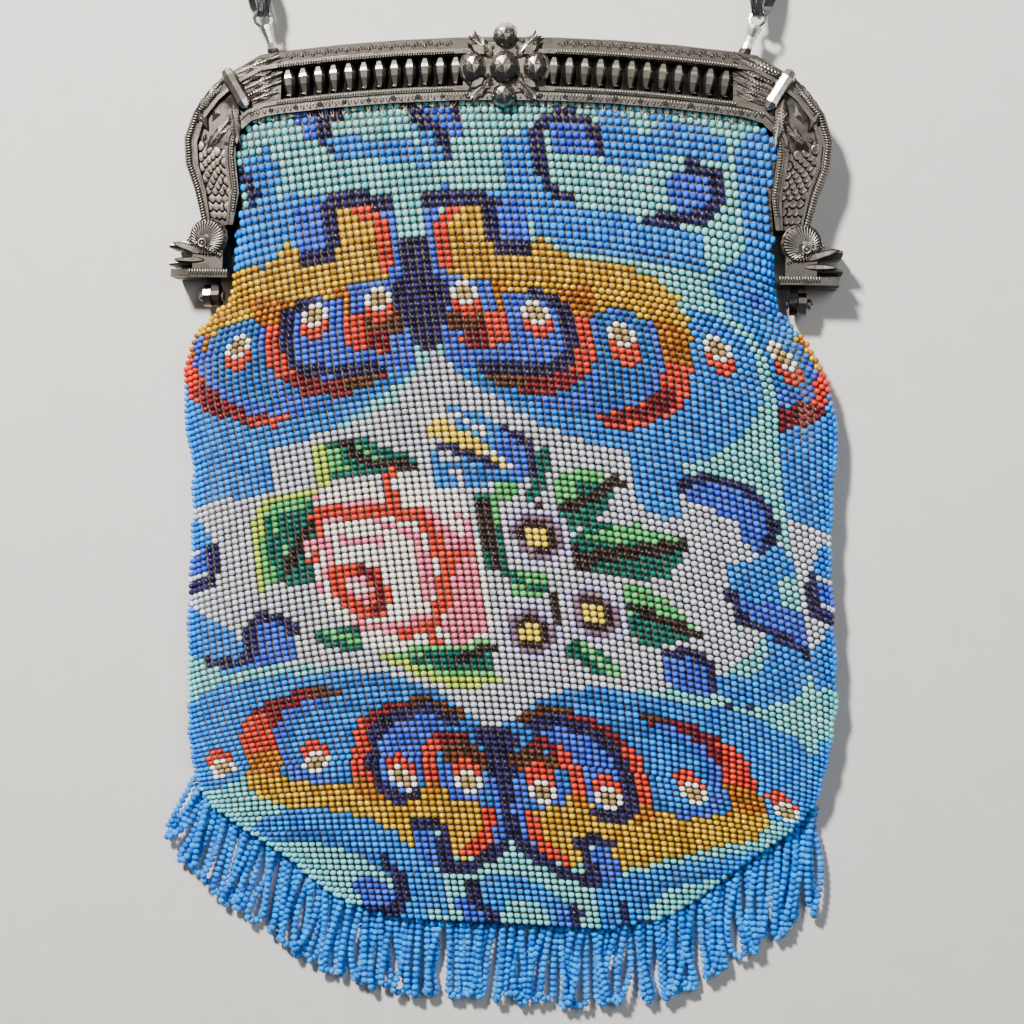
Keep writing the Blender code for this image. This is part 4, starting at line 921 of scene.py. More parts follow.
# The right lower wing
LOWER_WING = (
    ("sky", 0, ((-1, 97.5), (3.3, 93.9), (6.9, 91.1), (13.3, 88.2), (25.4, 88), (36.1, 86.8),
        (41.9, 88.6), (45.4, 90.7), (45.4, 102.9), (41.9, 106.4), (39, 106.4), (36.1, 104.6),
        (33.3, 102.1), (20.4, 96.4))),
    ("mid", 0, ((1, 97), (8, 94), (20, 93), (33, 95), (35, 101), (33, 107), (20, 110), (9, 112.5),
        (3, 112), (1, 108))),
    ("mid", 1.4, ((6.9, 91.8), (14, 90), (22.6, 90.7))),
    ("dark_red", 0, ((20.1, 90.7), (24.7, 90.6), (29.7, 91.8), (33.3, 93.6), (35.1, 96.8),
        (35.8, 100.6), (31, 100.6), (30.4, 97.9), (28.6, 95.4), (25.4, 93.4), (20.4, 92.3))),
    ("brown", 0, ((19.7, 90.7), (24, 90.6), (24, 92.1), (20.1, 92))),
    ("coral", 0, ((30.4, 92.9), (33.4, 93.6), (35.3, 96.8), (36, 100.6), (31, 100.6), (31, 97.1))),
    ("amber", 0, ((31, 100.4), (36.1, 100.4), (35.8, 105.7), (30.4, 106.4))),
    ("gold", 0, ((31, 105.4), (35.6, 104.3), (35.8, 106.4), (34, 109.3), (29.7, 111.4),
        (24, 113.9), (18.3, 116.4), (13.6, 118.2), (13.3, 113.6), (9.7, 113.2), (9, 116.8),
        (6.9, 118.6), (4.4, 116.1), (2.6, 113.6), (2.2, 109.3), (8.3, 106.4), (10.4, 106.4),
        (14.4, 109.6), (17.7, 109.3), (19.7, 106.4), (23.3, 107.7), (27.6, 106.6))),
    ("amber", 0, ((17.2, 106.4), (20.4, 106.4), (20.4, 109.3), (16.9, 109.6))),
    ("amber", 0, ((8.6, 105.4), (10.8, 105.7), (11.1, 107.9), (9, 108.2))),
    ("mid", 0, ((16.1, 93.6), (22.6, 92.5), (27.6, 94.3), (30.3, 97.9), (30.4, 102.1),
        (27.9, 106.4), (23.3, 107.6), (20.3, 106.4), (20.1, 99.3))),
    ("sky", 0, ((17.7, 95), (22.6, 94.3), (26.1, 95.4), (28.4, 98.6), (28.6, 102.1), (26.5, 105.4),
        (22.9, 106.4), (21.1, 105), (20.8, 99.3))),
    ("cobalt", 1.5, ((22.9, 92.7), (27.6, 94.4), (29.9, 97.9), (30, 102.1), (27.6, 106.1),
        (24, 107))),
    ("cobalt", 0, ((3.3, 95.4), (7.6, 94.3), (12.6, 95.7), (16.1, 97.9), (17.4, 102.1),
        (16.9, 107.1), (14.9, 109.4), (11.9, 108), (10.4, 103.6), (10.1, 99.3), (6.9, 97.1))),
    ("coral", 0, ((15.6, 95.7), (17.7, 95.7), (19.7, 98.6), (20.3, 102.9), (20.1, 106.4),
        (17.7, 106.4), (17.7, 102.1), (16.9, 98.9))),
    ("dark_red", 0, ((9, 93), (12.6, 92.9), (16.1, 94.6), (17.9, 96.4), (16.9, 98.2), (14.4, 96.3),
        (9.7, 94.6))),
    ("brown", 1.8, ((4, 94.6), (6.9, 93.2), (9.7, 92.9))),
    ("navy", 1.8, ((5.1, 95.7), (8.3, 94.1), (11.9, 94.9), (15.1, 96.8), (16.9, 99.3),
        (17.4, 102.9), (16.9, 107.1), (14.9, 109.6), (12.2, 108.4))),
    ("coral", 0, ((6.1, 97.3), (8.6, 97.9), (10.4, 100), (10.8, 105.7), (9, 105.7), (8.6, 102.1),
        (7.2, 99.6))),
    ("dark_red", 0, ((3.3, 97.9), (6.5, 97.1), (8.6, 98.2), (7.6, 99.6), (4.7, 99.3))),
    ("brown", 0, ((1.1, 100.4), (4, 98.6), (7.6, 99.9), (7.9, 102.1), (5.4, 102.5), (1.9, 102.9))),
    ("cobalt", 0, ((2.2, 103.6), (4.7, 102.7), (7.9, 103), (8.9, 105.7), (7.2, 108.2), (4, 108.7),
        (2.2, 106.4))),
    ("coral", 1.8, ((2.6, 110), (2.9, 113.6), (4.7, 115.7), (6.5, 117.1))),
    ("navy", 0, ((-1, 97.1), (1.1, 95.7), (3.3, 97.5), (1.1, 100.4), (1.9, 103.6), (0.8, 108.6),
        (1, 113.6), (-1, 113.6))),
    ("cobalt", 1.4, ((1.5, 104.3), (1.1, 109.3), (1.6, 113.6), (3.1, 116.4))),
    ("cobalt", 0, ((10.8, 113.2), (13.3, 113.2), (13.7, 118.6), (11.9, 120), (10.1, 120),
        (10.4, 115.7))),
    ("navy", 1.6, ((12.9, 113.4), (10.4, 112.9), (9, 113.9), (9.7, 117.1), (10.1, 120))),
    ("navy", 1.8, ((1, 115), (3.3, 117.1), (6.1, 119.3), (10.1, 120))),
    ("sky", 0, ((10.1, 121.4), (13.6, 118.9), (20.4, 116.6), (26.1, 114.4), (34, 112),
        (34.7, 113.6), (29, 117.1), (20.4, 119.6), (16.9, 123.6), (15.8, 127.1), (10.4, 127.9))),
    ("mid", 1.3, ((29, 116.4), (20.4, 119.3), (16.9, 122.9))),
)

# Where the left upper wing meets the next one
LEFT_MEETING = (
    ("gold", 0, ((-45.7, 25), (-40, 20), (-38.9, 16.8), (-35.4, 15.4), (-32.9, 18.7),
        (-28.6, 20.4), (-26.4, 24.6), (-32.1, 25), (-35.7, 24.6), (-40.7, 25.1), (-45.7, 26.4))),
    ("amber", 0, ((-36.6, 24.6), (-34.4, 24.6), (-34.9, 28.9), (-36.3, 28.9))),
    ("sky", 0, ((-45.7, 40), (-42.1, 38.6), (-37.9, 35.1), (-36.4, 33.6), (-34.6, 35.7),
        (-31.4, 40), (-26.4, 43.7), (-21.4, 45.7), (-15.7, 47.1), (-25, 47.7), (-26.1, 54.3),
        (-45.7, 54.3))),
    ("cobalt", 0, ((-45.7, 26.4), (-40.7, 25.1), (-36.8, 26.8), (-37.1, 30.7), (-39.3, 34.3),
        (-45.7, 37.1))),
    ("mid", 0, ((-45.7, 27.5), (-40.7, 26.1), (-38.2, 27.5), (-39.3, 31.4), (-41.4, 33.6),
        (-45.7, 35))),
    ("cobalt", 1.8, ((-33.9, 26.4), (-33.2, 30.7), (-31.3, 35), (-26.1, 40.7), (-20, 43))),
    ("coral", 0, ((-36.8, 28.9), (-34.4, 28.9), (-32, 34.6), (-33.9, 35.1), (-36.3, 32.1),
        (-37.9, 35.1), (-40.1, 35.1), (-38.6, 31.4))),
    ("dark_red", 0, ((-40.1, 34.6), (-37.3, 35), (-41.1, 38.4), (-45.7, 41.4), (-45.7, 38))),
    ("dark_red", 0, ((-34.1, 34.6), (-31.8, 34.3), (-26.4, 42), (-21.4, 43.3), (-26.4, 43.7),
        (-31.4, 40.1))),
    ("coral", 1.1, ((-26.8, 42.9), (-21.1, 43.7))),
)

# Scrolls at the bottom edge
FOOT_SCROLLS = (
    ("sky", 0, ((-36.8, 112.5), (-34.6, 110.4), (-28.6, 108.6), (-23.6, 110), (-18.6, 111.8),
        (-16.1, 113.6), (-12.9, 119.3), (-13.9, 129.3), (-17.9, 129.3), (-16.4, 122.1),
        (-19.3, 117.9), (-23.6, 114.3), (-28.6, 113.9), (-33.6, 115.4))),
    ("mid", 1.3, ((-32.9, 114.3), (-28.6, 113.6), (-25, 113.9))),
    ("cobalt", 0, ((-23.9, 122.1), (-21.4, 120.6), (-18.6, 122.1), (-18, 125), (-19.3, 127.1),
        (-22.9, 127.1))),
    ("navy", 1.5, ((-18.6, 118.2), (-17, 120.7), (-16.8, 124.3), (-18.6, 126.8), (-22.9, 126.8))),
    ("sky", 0, ((-7.1, 125), (-7.1, 122.1), (-4.3, 120.1), (1, 120), (-1, 120), (3.3, 121.4),
        (6.9, 125.7), (6.9, 130.7), (3.3, 130.7), (3.3, 125), (-1, 123.6), (-2.9, 123.9),
        (-4.3, 127.9), (-7.1, 129.3))),
    ("cobalt", 0, ((-9.6, 124.3), (-7.1, 123.6), (-5, 126.4), (-5.7, 129.3), (-9.3, 129.3))),
    ("navy", 1.6, ((-7.1, 121.8), (-7.1, 124.3), (-5, 127.1), (-5.4, 130.7))),
    ("cobalt", 0, ((4, 125), (6.9, 124.6), (6.5, 129.3), (4, 129.3))),
    ("navy", 1.4, ((6.9, 125), (6.5, 129.3))),
    ("navy", 1.4, ((13.6, 123.6), (13.3, 127.9))),
)

# %% Chart of the pattern: flowers
# The rose and its leaves
ROSE = (
    ("dark_green", 0, ((-17.9, 49.6), (-12.9, 48.7), (-7.1, 51.8), (-4.9, 53.6), (-5.7, 55.1),
        (-12.9, 55), (-17.5, 55.4))),
    ("light_green", 0, ((-17.5, 49.3), (-15, 50.7), (-14.3, 53.6), (-17.1, 54.3))),
    ("light_green", 1.5, ((-12.9, 50.7), (-10, 53.6))),
    ("black", 1.4, ((-14.3, 49.6), (-11.4, 53.2), (-5.7, 54.3))),
    ("lime", 1.4, ((-18.1, 49.3), (-18, 55.4))),
    ("lime", 1.5, ((-20, 56.8), (-25.4, 56.3), (-27.7, 58.7), (-28.6, 63.6), (-28.6, 69.9))),
    ("light_green", 0, ((-25.4, 57), (-19.6, 57.3), (-19.3, 61.4), (-21.4, 65.7), (-24.3, 69.3),
        (-27.9, 69.9), (-27.7, 63.6), (-27.1, 59.1))),
    ("dark_green", 0, ((-25, 59.3), (-20, 58.2), (-19.6, 63.6), (-18.6, 65), (-20.4, 70.9),
        (-26.4, 70.4), (-23.2, 66.4), (-25, 62.9))),
    ("black", 1.5, ((-20, 61.4), (-22.9, 65), (-25, 68.6))),
    ("dark_green", 1.4, ((-26.4, 60), (-25.7, 67.9))),
    ("white", 0, ((-19.1, 58.7), (-18.2, 56.6), (-15, 55.6), (-11.4, 56.3), (-10.3, 58.7),
        (-8.9, 55.4), (-4.3, 55.6), (1, 57.9), (0.4, 58.6), (1, 63.6), (2.2, 68.6), (2.2, 75.7),
        (1.1, 82.9), (-4.3, 82.9), (-7.1, 82.9), (-10, 83.7), (-15, 83.2), (-16.4, 80),
        (-18.6, 77.1), (-20.6, 73.6), (-21.4, 69.3), (-21.6, 65), (-19.6, 63.6), (-18.6, 60.7))),
    ("pink", 0, ((-19.6, 57.1), (-17.9, 59.6), (-11.4, 59.3), (-9.3, 60.7), (-4.3, 61.4),
        (0, 67.1), (-0.7, 61.4), (1, 63.6), (1, 80), (-3.6, 82.9), (-4.3, 77.1), (-3.2, 71.4),
        (-4.3, 65.7), (-7.1, 62.1), (-12.9, 61.4), (-18.6, 61.8))),
    ("coral", 2.0, ((-19.6, 60.4), (-16.4, 60.4), (-12.9, 60.9), (-8.9, 61.4), (-5.7, 62.3),
        (-4.1, 65.7), (-3.2, 70.7), (-4.1, 75.7), (-6.3, 79.3), (-10, 80.7))),
    ("coral", 1.5, ((-8.9, 60.7), (-9.4, 56.4), (-8.6, 55.1))),
    ("coral", 1.4, ((-19.3, 60.7), (-19.6, 64.6), (-21.1, 67.9))),
    ("coral", 1.6, ((-3.2, 69.3), (0, 68.2))),
    ("pink", 1.5, ((-11.4, 63.2), (-7.1, 65), (-5.7, 70), (-6.3, 75.7))),
    ("pink", 1.3, ((-21.4, 65), (-18.6, 65), (-18.6, 68.6), (-20.7, 72.1))),
    ("pink", 1.2, ((-17.1, 63.6), (-12.9, 65), (-10, 67.9))),
    ("white", 0, ((-17.9, 62.9), (-12.9, 62.7), (-8.6, 64.6), (-7.1, 68.6), (-7.3, 73.6),
        (-9.3, 78.6), (-10.9, 78.6), (-11.1, 74.3), (-12.1, 70.7), (-15.7, 68.2), (-18, 67.1))),
    ("pink", 1.2, ((-17.1, 65), (-11.1, 66.1))),
    ("coral", 0, ((-18.2, 68.6), (-15, 68.6), (-12.1, 70.7), (-11.1, 74.3), (-11.8, 77.9),
        (-14.3, 78.6), (-16.8, 77.1), (-18.9, 73.6), (-19.3, 70))),
    ("pink", 0, ((-16.8, 71.4), (-14.3, 71.1), (-12.9, 73.6), (-14.3, 75.7), (-16.4, 75))),
    ("dark_red", 1.2, ((-14.3, 70), (-12.1, 73.6), (-13.2, 77.1))),
    ("white", 1.4, ((-16.4, 72.5), (-14.6, 73.6))),
    ("pink", 1.6, ((-16.4, 78.9), (-12.1, 80), (-7.1, 78.9))),
    ("coral", 1.6, ((-7.1, 80), (-6.3, 82.5))),
    ("pink", 1.6, ((-4.3, 80), (-2.9, 82.1), (0, 80))),
    ("dark_green", 0, ((-22.5, 80), (-20, 78.6), (-16.4, 78.9), (-15.7, 82.9), (-18.6, 82.9),
        (-21.8, 81.1))),
    ("light_green", 1.4, ((-20.7, 79.6), (-16.8, 81.4))),
    ("light_green", 0, ((-12.1, 84.3), (-9.3, 82.9), (-3.6, 83.2), (1, 82.1), (1, 88.6),
        (-4.3, 89.1), (-10, 87.1))),
    ("dark_green", 0, ((-10, 85.7), (-7.1, 83.6), (-2.9, 84.3), (1, 82.9), (1, 86.4),
        (-4.3, 87.5))),
    ("black", 1.6, ((-3.6, 85.7), (1, 83.2))),
    ("lime", 1.4, ((-12.9, 84.3), (-10, 86.8), (-5, 89.1), (1, 88.6))),
)

# Leaves of the three small flowers, and the blue butterfly
SPRAY = (
    ("dark_green", 0, ((2.2, 58.9), (5.1, 58.6), (5.1, 70.7), (2.2, 70.7))),
    ("black", 1.4, ((2.9, 60.7), (3.3, 70))),
    ("light_green", 1.2, ((4.7, 60), (4.4, 63.6))),
    ("dark_green", 0, ((11.9, 50.6), (12.9, 51.4), (12.2, 57.1), (9.7, 60.4), (8.3, 60),
        (10.4, 56.4), (11.1, 53.6))),
    ("light_green", 0, ((5.1, 57.1), (8.3, 56.6), (8.3, 59.3), (5.1, 60.1))),
    ("light_green", 0, ((12.6, 58.6), (13.6, 55.7), (16.5, 53.9), (20.4, 54.6), (22.2, 54.9),
        (19.7, 59.3), (16.9, 63.6), (12.9, 61.4))),
    ("dark_green", 0, ((16.1, 56.4), (22.2, 54.9), (19.7, 59.3), (17.6, 62.9), (14.4, 63.6),
        (13.3, 61.4), (16.9, 58.6))),
    ("black", 1.5, ((21.9, 55.1), (18.3, 57.9), (14, 60.7))),
    ("dark_green", 0, ((14, 65), (18.3, 62.1), (23.3, 61.4), (29.9, 62.7), (28.3, 66.4),
        (26.5, 68.6), (22.6, 70), (14.4, 69.6))),
    ("light_green", 0, ((17.6, 63.6), (23.3, 61.4), (29.9, 62.1), (26.1, 63.6), (20.4, 65),
        (15.4, 65))),
    ("black", 1.8, ((29.4, 63.2), (22.6, 65.7), (15.4, 67.9))),
    ("black", 1.4, ((14.4, 66.4), (15.1, 69.3))),
    ("light_green", 0, ((19.7, 71.4), (24, 71.4), (27.2, 73.6), (30.1, 76.4), (25.4, 77.9),
        (20.4, 77.1))),
    ("dark_green", 0, ((19.4, 75.7), (23.3, 75), (30.1, 76.6), (26.1, 78.6), (22.6, 80),
        (20.4, 79.3))),
    ("black", 1.5, ((20.4, 74.3), (29.7, 76.6))),
    ("dark_green", 0, ((10.1, 81.8), (14, 81.1), (16.9, 83.6), (17.9, 86.4), (14.4, 85.7),
        (11.5, 83.6))),
    ("light_green", 1.6, ((13.3, 82.1), (16.9, 85))),
    ("light_green", 0, ((5.1, 71.1), (9.7, 70.7), (10.1, 74.3), (5.4, 75))),
    ("dark_green", 1.3, ((5.1, 71.4), (7.6, 73.6), (9.7, 73.6))),
    ("black", 1.5, ((10.1, 61.4), (10.4, 60.7))),
    ("black", 0, ((9.7, 73.6), (11.5, 74.3), (11.1, 80), (10.1, 80))),
    ("sky", 0, ((-3.6, 45.7), (-0.7, 45.1), (1, 45.7), (1, 57.9), (-2.5, 57.9), (-2.9, 51.8),
        (-3.9, 49.3), (0.4, 57.9), (7.6, 57.1), (10.4, 55.7), (10.8, 50.7), (8.3, 48.6),
        (3.3, 45.7), (-0.3, 45))),
    ("cobalt", 0, ((7.6, 48.6), (10.4, 51.4), (10.4, 56.1), (7.9, 56.1), (6.1, 53.6),
        (5.8, 50.7))),
    ("yellow", 0, ((-3.6, 48.6), (-2.1, 47.1), (0, 47.5), (0.4, 47.9), (3.3, 50), (6.9, 53.6),
        (6.5, 55.1), (2.6, 53.6), (-0.3, 51.4))),
    ("white", 1.0, ((-1.8, 46.4), (0, 46.8))),
    ("white", 1.1, ((1.1, 46.4), (4.7, 49.3))),
    ("white", 1.0, ((4.4, 52.1), (7.6, 54.3))),
    ("navy", 1.3, ((-1, 51.1), (1.9, 52.7), (5.4, 54.3))),
    ("navy", 1.3, ((7.2, 48.4), (10.1, 50.7), (10.6, 55.4))),
    ("mid", 1.4, ((-0.3, 54.3), (6.1, 56.8))),
)

# Middle of the eyes in the wings, from the centre line outwards
UPPER_EYES = ((4.6, 27.8), (13.9, 30.2), (25.3, 33.0), (37.6, 31.6))
LOWER_EYES = ((5.0, 105.0), (13.7, 105.4), (25.8, 102.9), (39.2, 102.3))
LEFT_EYE = ((41.6, 29.6),)
EYE = (" WW ", "WTTW", "WTTW", "KWWK", "KKKK", " KK ")
EYE_COLOURS = {"W": "white", "T": "tan", "K": "coral"}
EYE_LEFT = 1.5
EYE_UP = 2.0

# Middle and size of the small flowers, then each ring's colour and size
FLOWERS = ((9.7, 65.3, 4.7, 4.8), (15.8, 76.5, 4.3, 4.8), (6.7, 80.7, 4.2, 4.8))
FLOWER_RINGS = (("violet", 1.0), ("mauve", 0.72), ("black", 0.52), ("yellow", 0.37))

UPPER_CENTRE = -1.0
LOWER_CENTRE = -0.2
LEFT_RISE = 2.5
LEFT_RISE_FROM = 25.0

# %% Painting the chart
CHART_COLOURS = (
    "aqua", "sky", "mid", "cobalt", "navy", "gold", "amber", "brown", "dark_red", "coral",
    "white", "tan", "pearl", "pink", "lime", "light_green", "dark_green", "black", "yellow",
    "violet", "mauve",
)


def inside(outline, column, row):
    """Which beads lie inside a closed outline."""
    hit = np.zeros(len(column), bool)
    for (x1, y1), (x2, y2) in zip(outline, outline[1:] + outline[:1]):
        if y1 != y2:
            crosses = (y1 > row) != (y2 > row)
            hit ^= crosses & (column < (x2 - x1) * (row - y1) / (y2 - y1) + x1)
    return hit


def near(line, column, row, width):
    """Which beads lie on a line of some width."""
    hit = np.zeros(len(column), bool)
    for (x1, y1), (x2, y2) in zip(line, line[1:]):
        length = max((x2 - x1) ** 2 + (y2 - y1) ** 2, 1e-9)
        share = np.clip(((column - x1) * (x2 - x1) + (row - y1) * (y2 - y1)) / length, 0, 1)
        off = np.hypot(column - x1 - share * (x2 - x1), row - y1 - share * (y2 - y1))
        hit |= off <= width / 2
    return hit


def paint(chart, column, row, shapes):
    for colour, width, points in shapes:
        hit = near(points, column, row, width) if width else inside(points, column, row)
        chart[hit] = CHART_COLOURS.index(colour)


def paint_eyes(chart, column, row, places, upside_down):
    """The eyes of the wings. EYE's letters start up and left of the middle."""
    for x, y in places:
        for j, letters in enumerate(EYE):
            level = y + EYE_UP - j if upside_down else y - EYE_UP + j
            for i, letter in enumerate(letters):
                if letter != " ":
                    hit = (np.abs(column - x + EYE_LEFT - i) <= 0.5) & (np.abs(row - level) <= 0.5)
                    chart[hit] = CHART_COLOURS.index(EYE_COLOURS[letter])


def paint_wings(chart, column, row, shapes, eyes, centre, upside_down):
    """The right wing, then the left one turned over the centre line."""
    paint(chart, column, row, shapes)
    paint_eyes(chart, column, row, eyes, upside_down)
    over = np.full(len(column), -1)
    out = 2 * centre - column
    level = row + LEFT_RISE * np.clip(out / LEFT_RISE_FROM, 0, 1)
    paint(over, out, level, shapes)
    paint_eyes(over, out, level, eyes, upside_down)
    left = (column < centre) & (over >= 0)
    chart[left] = over[left]


def paint_flowers(chart, column, row):
    for x, y, width, height in FLOWERS:
        reach = np.hypot((column - x) / width, (row - y) / height)
        for colour, size in FLOWER_RINGS:
            chart[reach <= size] = CHART_COLOURS.index(colour)


def paint_chart(column, row):
    """The colour of every bead, as its number in CHART_COLOURS."""
    chart = np.zeros(len(column), int)
    paint(chart, column, row, GROUND)
    paint(chart, column, row, RIM_SCROLLS)
    paint_wings(chart, column, row, UPPER_WING, UPPER_EYES, UPPER_CENTRE, False)
    paint(chart, column, row, LEFT_MEETING)
    paint_eyes(chart, -column, row, LEFT_EYE, False)
    paint_wings(chart, column, row, LOWER_WING, LOWER_EYES, LOWER_CENTRE, True)
    for shapes in (FOOT_SCROLLS, ROSE, SPRAY):
        paint(chart, column, row, shapes)
    paint_flowers(chart, column, row)
    return chart


bead_colour = paint_chart(bead_column + 0.5, bead_row + 0.5)
print("Beads of each colour:", dict(zip(CHART_COLOURS, np.bincount(bead_colour).tolist())))

# %% [markdown]
# One bead is modelled and copied. It is round and a little flat, and it has
# few faces, because there are twenty thousand of them. The beads that face
# the floor have still fewer.

# %% One round bead
def round_bead(segments, rings):
    """A low round bead, a little flatter than a ball."""
    item = ball(segments, rings)
    edit_all()
    bpy.ops.transform.resize(value=(1.06, 1.06, 0.98))
    bpy.ops.object.mode_set(mode="OBJECT")
    return Pattern(item)


bead = round_bead(8, 4)
floor_bead = round_bead(6, 3)
print("Faces of a bead:", len(bead.sizes), "and on the floor side", len(floor_bead.sizes))

# %% [markdown]
# Old glass beads of one colour still differ a little, so each colour has a
# pale and a deep tone, and every bead takes its own mix of the two. The tones
# are given as they look on a screen and turned into light values here.

# %% Bead colours
# Pale tone, deep tone, then how metallic the bead is
BEAD_TONES = {
    "aqua": ((142, 222, 226), (84, 180, 192), 0.0),
    "sky": ((0, 152, 244), (0, 100, 206), 0.0),
    "mid": ((14, 116, 205), (4, 80, 165), 0.0),
    "cobalt": ((62, 104, 232), (34, 62, 190), 0.0),
    "navy": ((45, 38, 95), (18, 16, 50), 0.0),
    "gold": ((250, 208, 52), (186, 134, 14), 0.35),
    "amber": ((226, 138, 26), (152, 82, 12), 0.35),
    "brown": ((104, 58, 40), (60, 34, 26), 0.1),
    "dark_red": ((130, 28, 44), (84, 14, 26), 0.0),
    "coral": ((236, 60, 42), (186, 32, 28), 0.0),
    "white": ((255, 255, 252), (238, 240, 240), 0.0),
    "tan": ((190, 165, 110), (150, 124, 74), 0.1),
    "pearl": ((216, 222, 236), (176, 182, 198), 0.0),
    "pink": ((250, 142, 176), (228, 92, 136), 0.0),
    "lime": ((206, 230, 84), (164, 202, 56), 0.0),
    "light_green": ((90, 204, 118), (50, 160, 84), 0.0),
    "dark_green": ((10, 106, 94), (4, 70, 64), 0.0),
    "black": ((52, 38, 40), (24, 18, 20), 0.0),
    "yellow": ((252, 230, 84), (234, 200, 48), 0.0),
    "violet": ((216, 212, 250), (176, 170, 230), 0.0),
    "mauve": ((138, 108, 136), (100, 74, 100), 0.0),
}


def light_value(tone):
    """Turns a screen colour, 0 to 255, into linear light."""
    return tuple(
        x / 255 / 12.92 if x < 10.3 else ((x / 255 + 0.055) / 1.055) ** 2.4 for x in tone)


def bead_material(name, pale, deep, metallic=0.0):
    """Glossy glass with a thin clear coat."""
    material, tree = new_material(name)
    tones = {"Pale": light_value(pale), "Deep": light_value(deep)}
    group = use_group(material, BEAD_SHADE, place_of(material), tones)
    tree.links.new(values_of(material, "shade"), group.inputs["Shade"])
    shader = shader_of(material)
    shader.inputs["Metallic"].default_value = metallic
    shader.inputs["Specular IOR Level"].default_value = 0.3
    shader.inputs["Coat Weight"].default_value = 0.15
    shader.inputs["Coat Roughness"].default_value = 0.08
    bump(material, group.outputs["Height"], 0.00005, 0.4)
    return material


print("Bead colours:", len(BEAD_TONES))

# %% [markdown]
# The beads are strung colour by colour, so that each piece has one material.
# Real beads lean in their stitches and differ in size, and small random turns
# and sizes keep the rows from looking printed.

# %% Stringing the beads
BEAD_WIDTH = 0.89
BEAD_HEIGHT = 0.92
BEAD_DEPTH = 0.00150
BEAD_SIZES = (0.95, 1.04)
BEAD_TILT = math.radians(9.0)
BEAD_TILT_SPREAD = math.radians(5.0)
TILT_SPAN = 0.15


def bead_axes(chosen):
    """The directions and sizes of some beads. They lean in their stitches,
    most on the left of the bag."""
    count = int(chosen.sum())
    way = bead_way[chosen]
    normal = bead_normal[chosen]
    up = np.cross(normal, way)
    side = np.clip(0.5 - bead_at[chosen][:, 0] / TILT_SPAN, 0, 1)
    tilt = (-BEAD_TILT * side + rng.normal(0, BEAD_TILT_SPREAD, count))[:, None]
    across = way * np.cos(tilt) + up * np.sin(tilt)
    along_column = up * np.cos(tilt) - way * np.sin(tilt)
    size = rng.uniform(*BEAD_SIZES, count)[:, None]
    return np.stack([
        across * BEAD_PITCH * BEAD_WIDTH * size,
        along_column * bead_step[chosen][:, None] * BEAD_HEIGHT * size,
        normal * BEAD_DEPTH], 1)


def string_beads(name, pattern, places, axes, look):
    """Copies beads into one piece, each with a shade of its own."""
    item = copies(name, pattern, places, axes)
    shades = np.repeat(rng.random(len(places)), len(pattern.points))
    add_values(item.data, "shade", shades)
    return settle(item, "purse", look)


SIDES = (("front", ~faces_floor, bead), ("back", faces_floor, floor_bead))
bead_total = 0
for number, colour in enumerate(CHART_COLOURS):
    look = bead_material(f"{colour}_glass", *BEAD_TONES[colour])
    for side_name, on_side, shape in SIDES:
        chosen = on_side & (bead_colour == number)
        if not chosen.any():
            continue
        item = string_beads(f"beads_{colour}_{side_name}", shape, bead_at[chosen],
                            bead_axes(chosen), look)
        bead_total += triangles(item.data)
print("Triangles of all beads:", bead_total)

# %% [markdown]
# The fringe is about seventy strands, each a loop of beads that leaves the
# bag's bottom edge and comes back to it. The two legs of a loop lie beside
# or across each other, so each loop gets its own twist, length and lean.

# %% Bottom edge of the bag
FRINGE_HEIGHT = 0.0022
EDGE_LEFT = -0.0745
EDGE_RIGHT = 0.0800
EDGE_TOP = -0.150
EDGE_BOTTOM = -0.215
EDGE_STEP = 0.0005
FRINGE_FROM = -0.172


def lowest_y(x):
    """Where the bag's outline ends, going down at one place along X."""
    hits = [
        y for y in np.arange(EDGE_TOP, EDGE_BOTTOM, -EDGE_STEP / 2)
        if drop_line(bag_tree, x, y)[0] is not None
    ]
    return hits[-1] if hits else EDGE_TOP


def bottom_edge():
    ends = [(x, lowest_y(x), FRINGE_HEIGHT) for x in np.arange(EDGE_LEFT, EDGE_RIGHT, EDGE_STEP)]
    return np.array([end for end in ends if end[1] < FRINGE_FROM])


edge = bottom_edge()
print("Fringe edge in mm:", in_mm([along(edge)[-1]]))

# %% Looped strands
FRINGE_LOOPS = 70
FRINGE_LENGTH = 0.0185
LENGTH_SPREAD = (0.93, 1.04)
LEAN_SPREAD = 5.0
FRINGE_BEAD_WIDTH = 0.00178
FRINGE_BEAD_STEP = 0.00148
FRINGE_WAY_REACH = 0.0008
LOOP_STEPS = 40
LOOP_WIDTHS = (0.0010, 0.0024)
LOOP_BOW = 0.0007
LOOP_END = 0.07
LOOP_FLATNESS = 0.85
LEG_SPACE = 0.0010
TURNS = (0.4, 2.7)
TWISTS = [-3.1, -1.6, 0.0, 1.6, 3.1]
# Share along the edge, length as a share of FRINGE_LENGTH, lean in degrees
FRINGE_HANG = np.array((
    (0.00, 0.86, -24),
    (0.08, 1.00, -16),
    (0.22, 1.02, -6),
    (0.50, 1.00, 0),
    (0.75, 1.06, 2),
    (0.92, 1.25, 0),
    (1.00, 1.32, -4),
))


def hang_value(share, column):
    return float(np.interp(share, FRINGE_HANG[:, 0], FRINGE_HANG[:, column]))


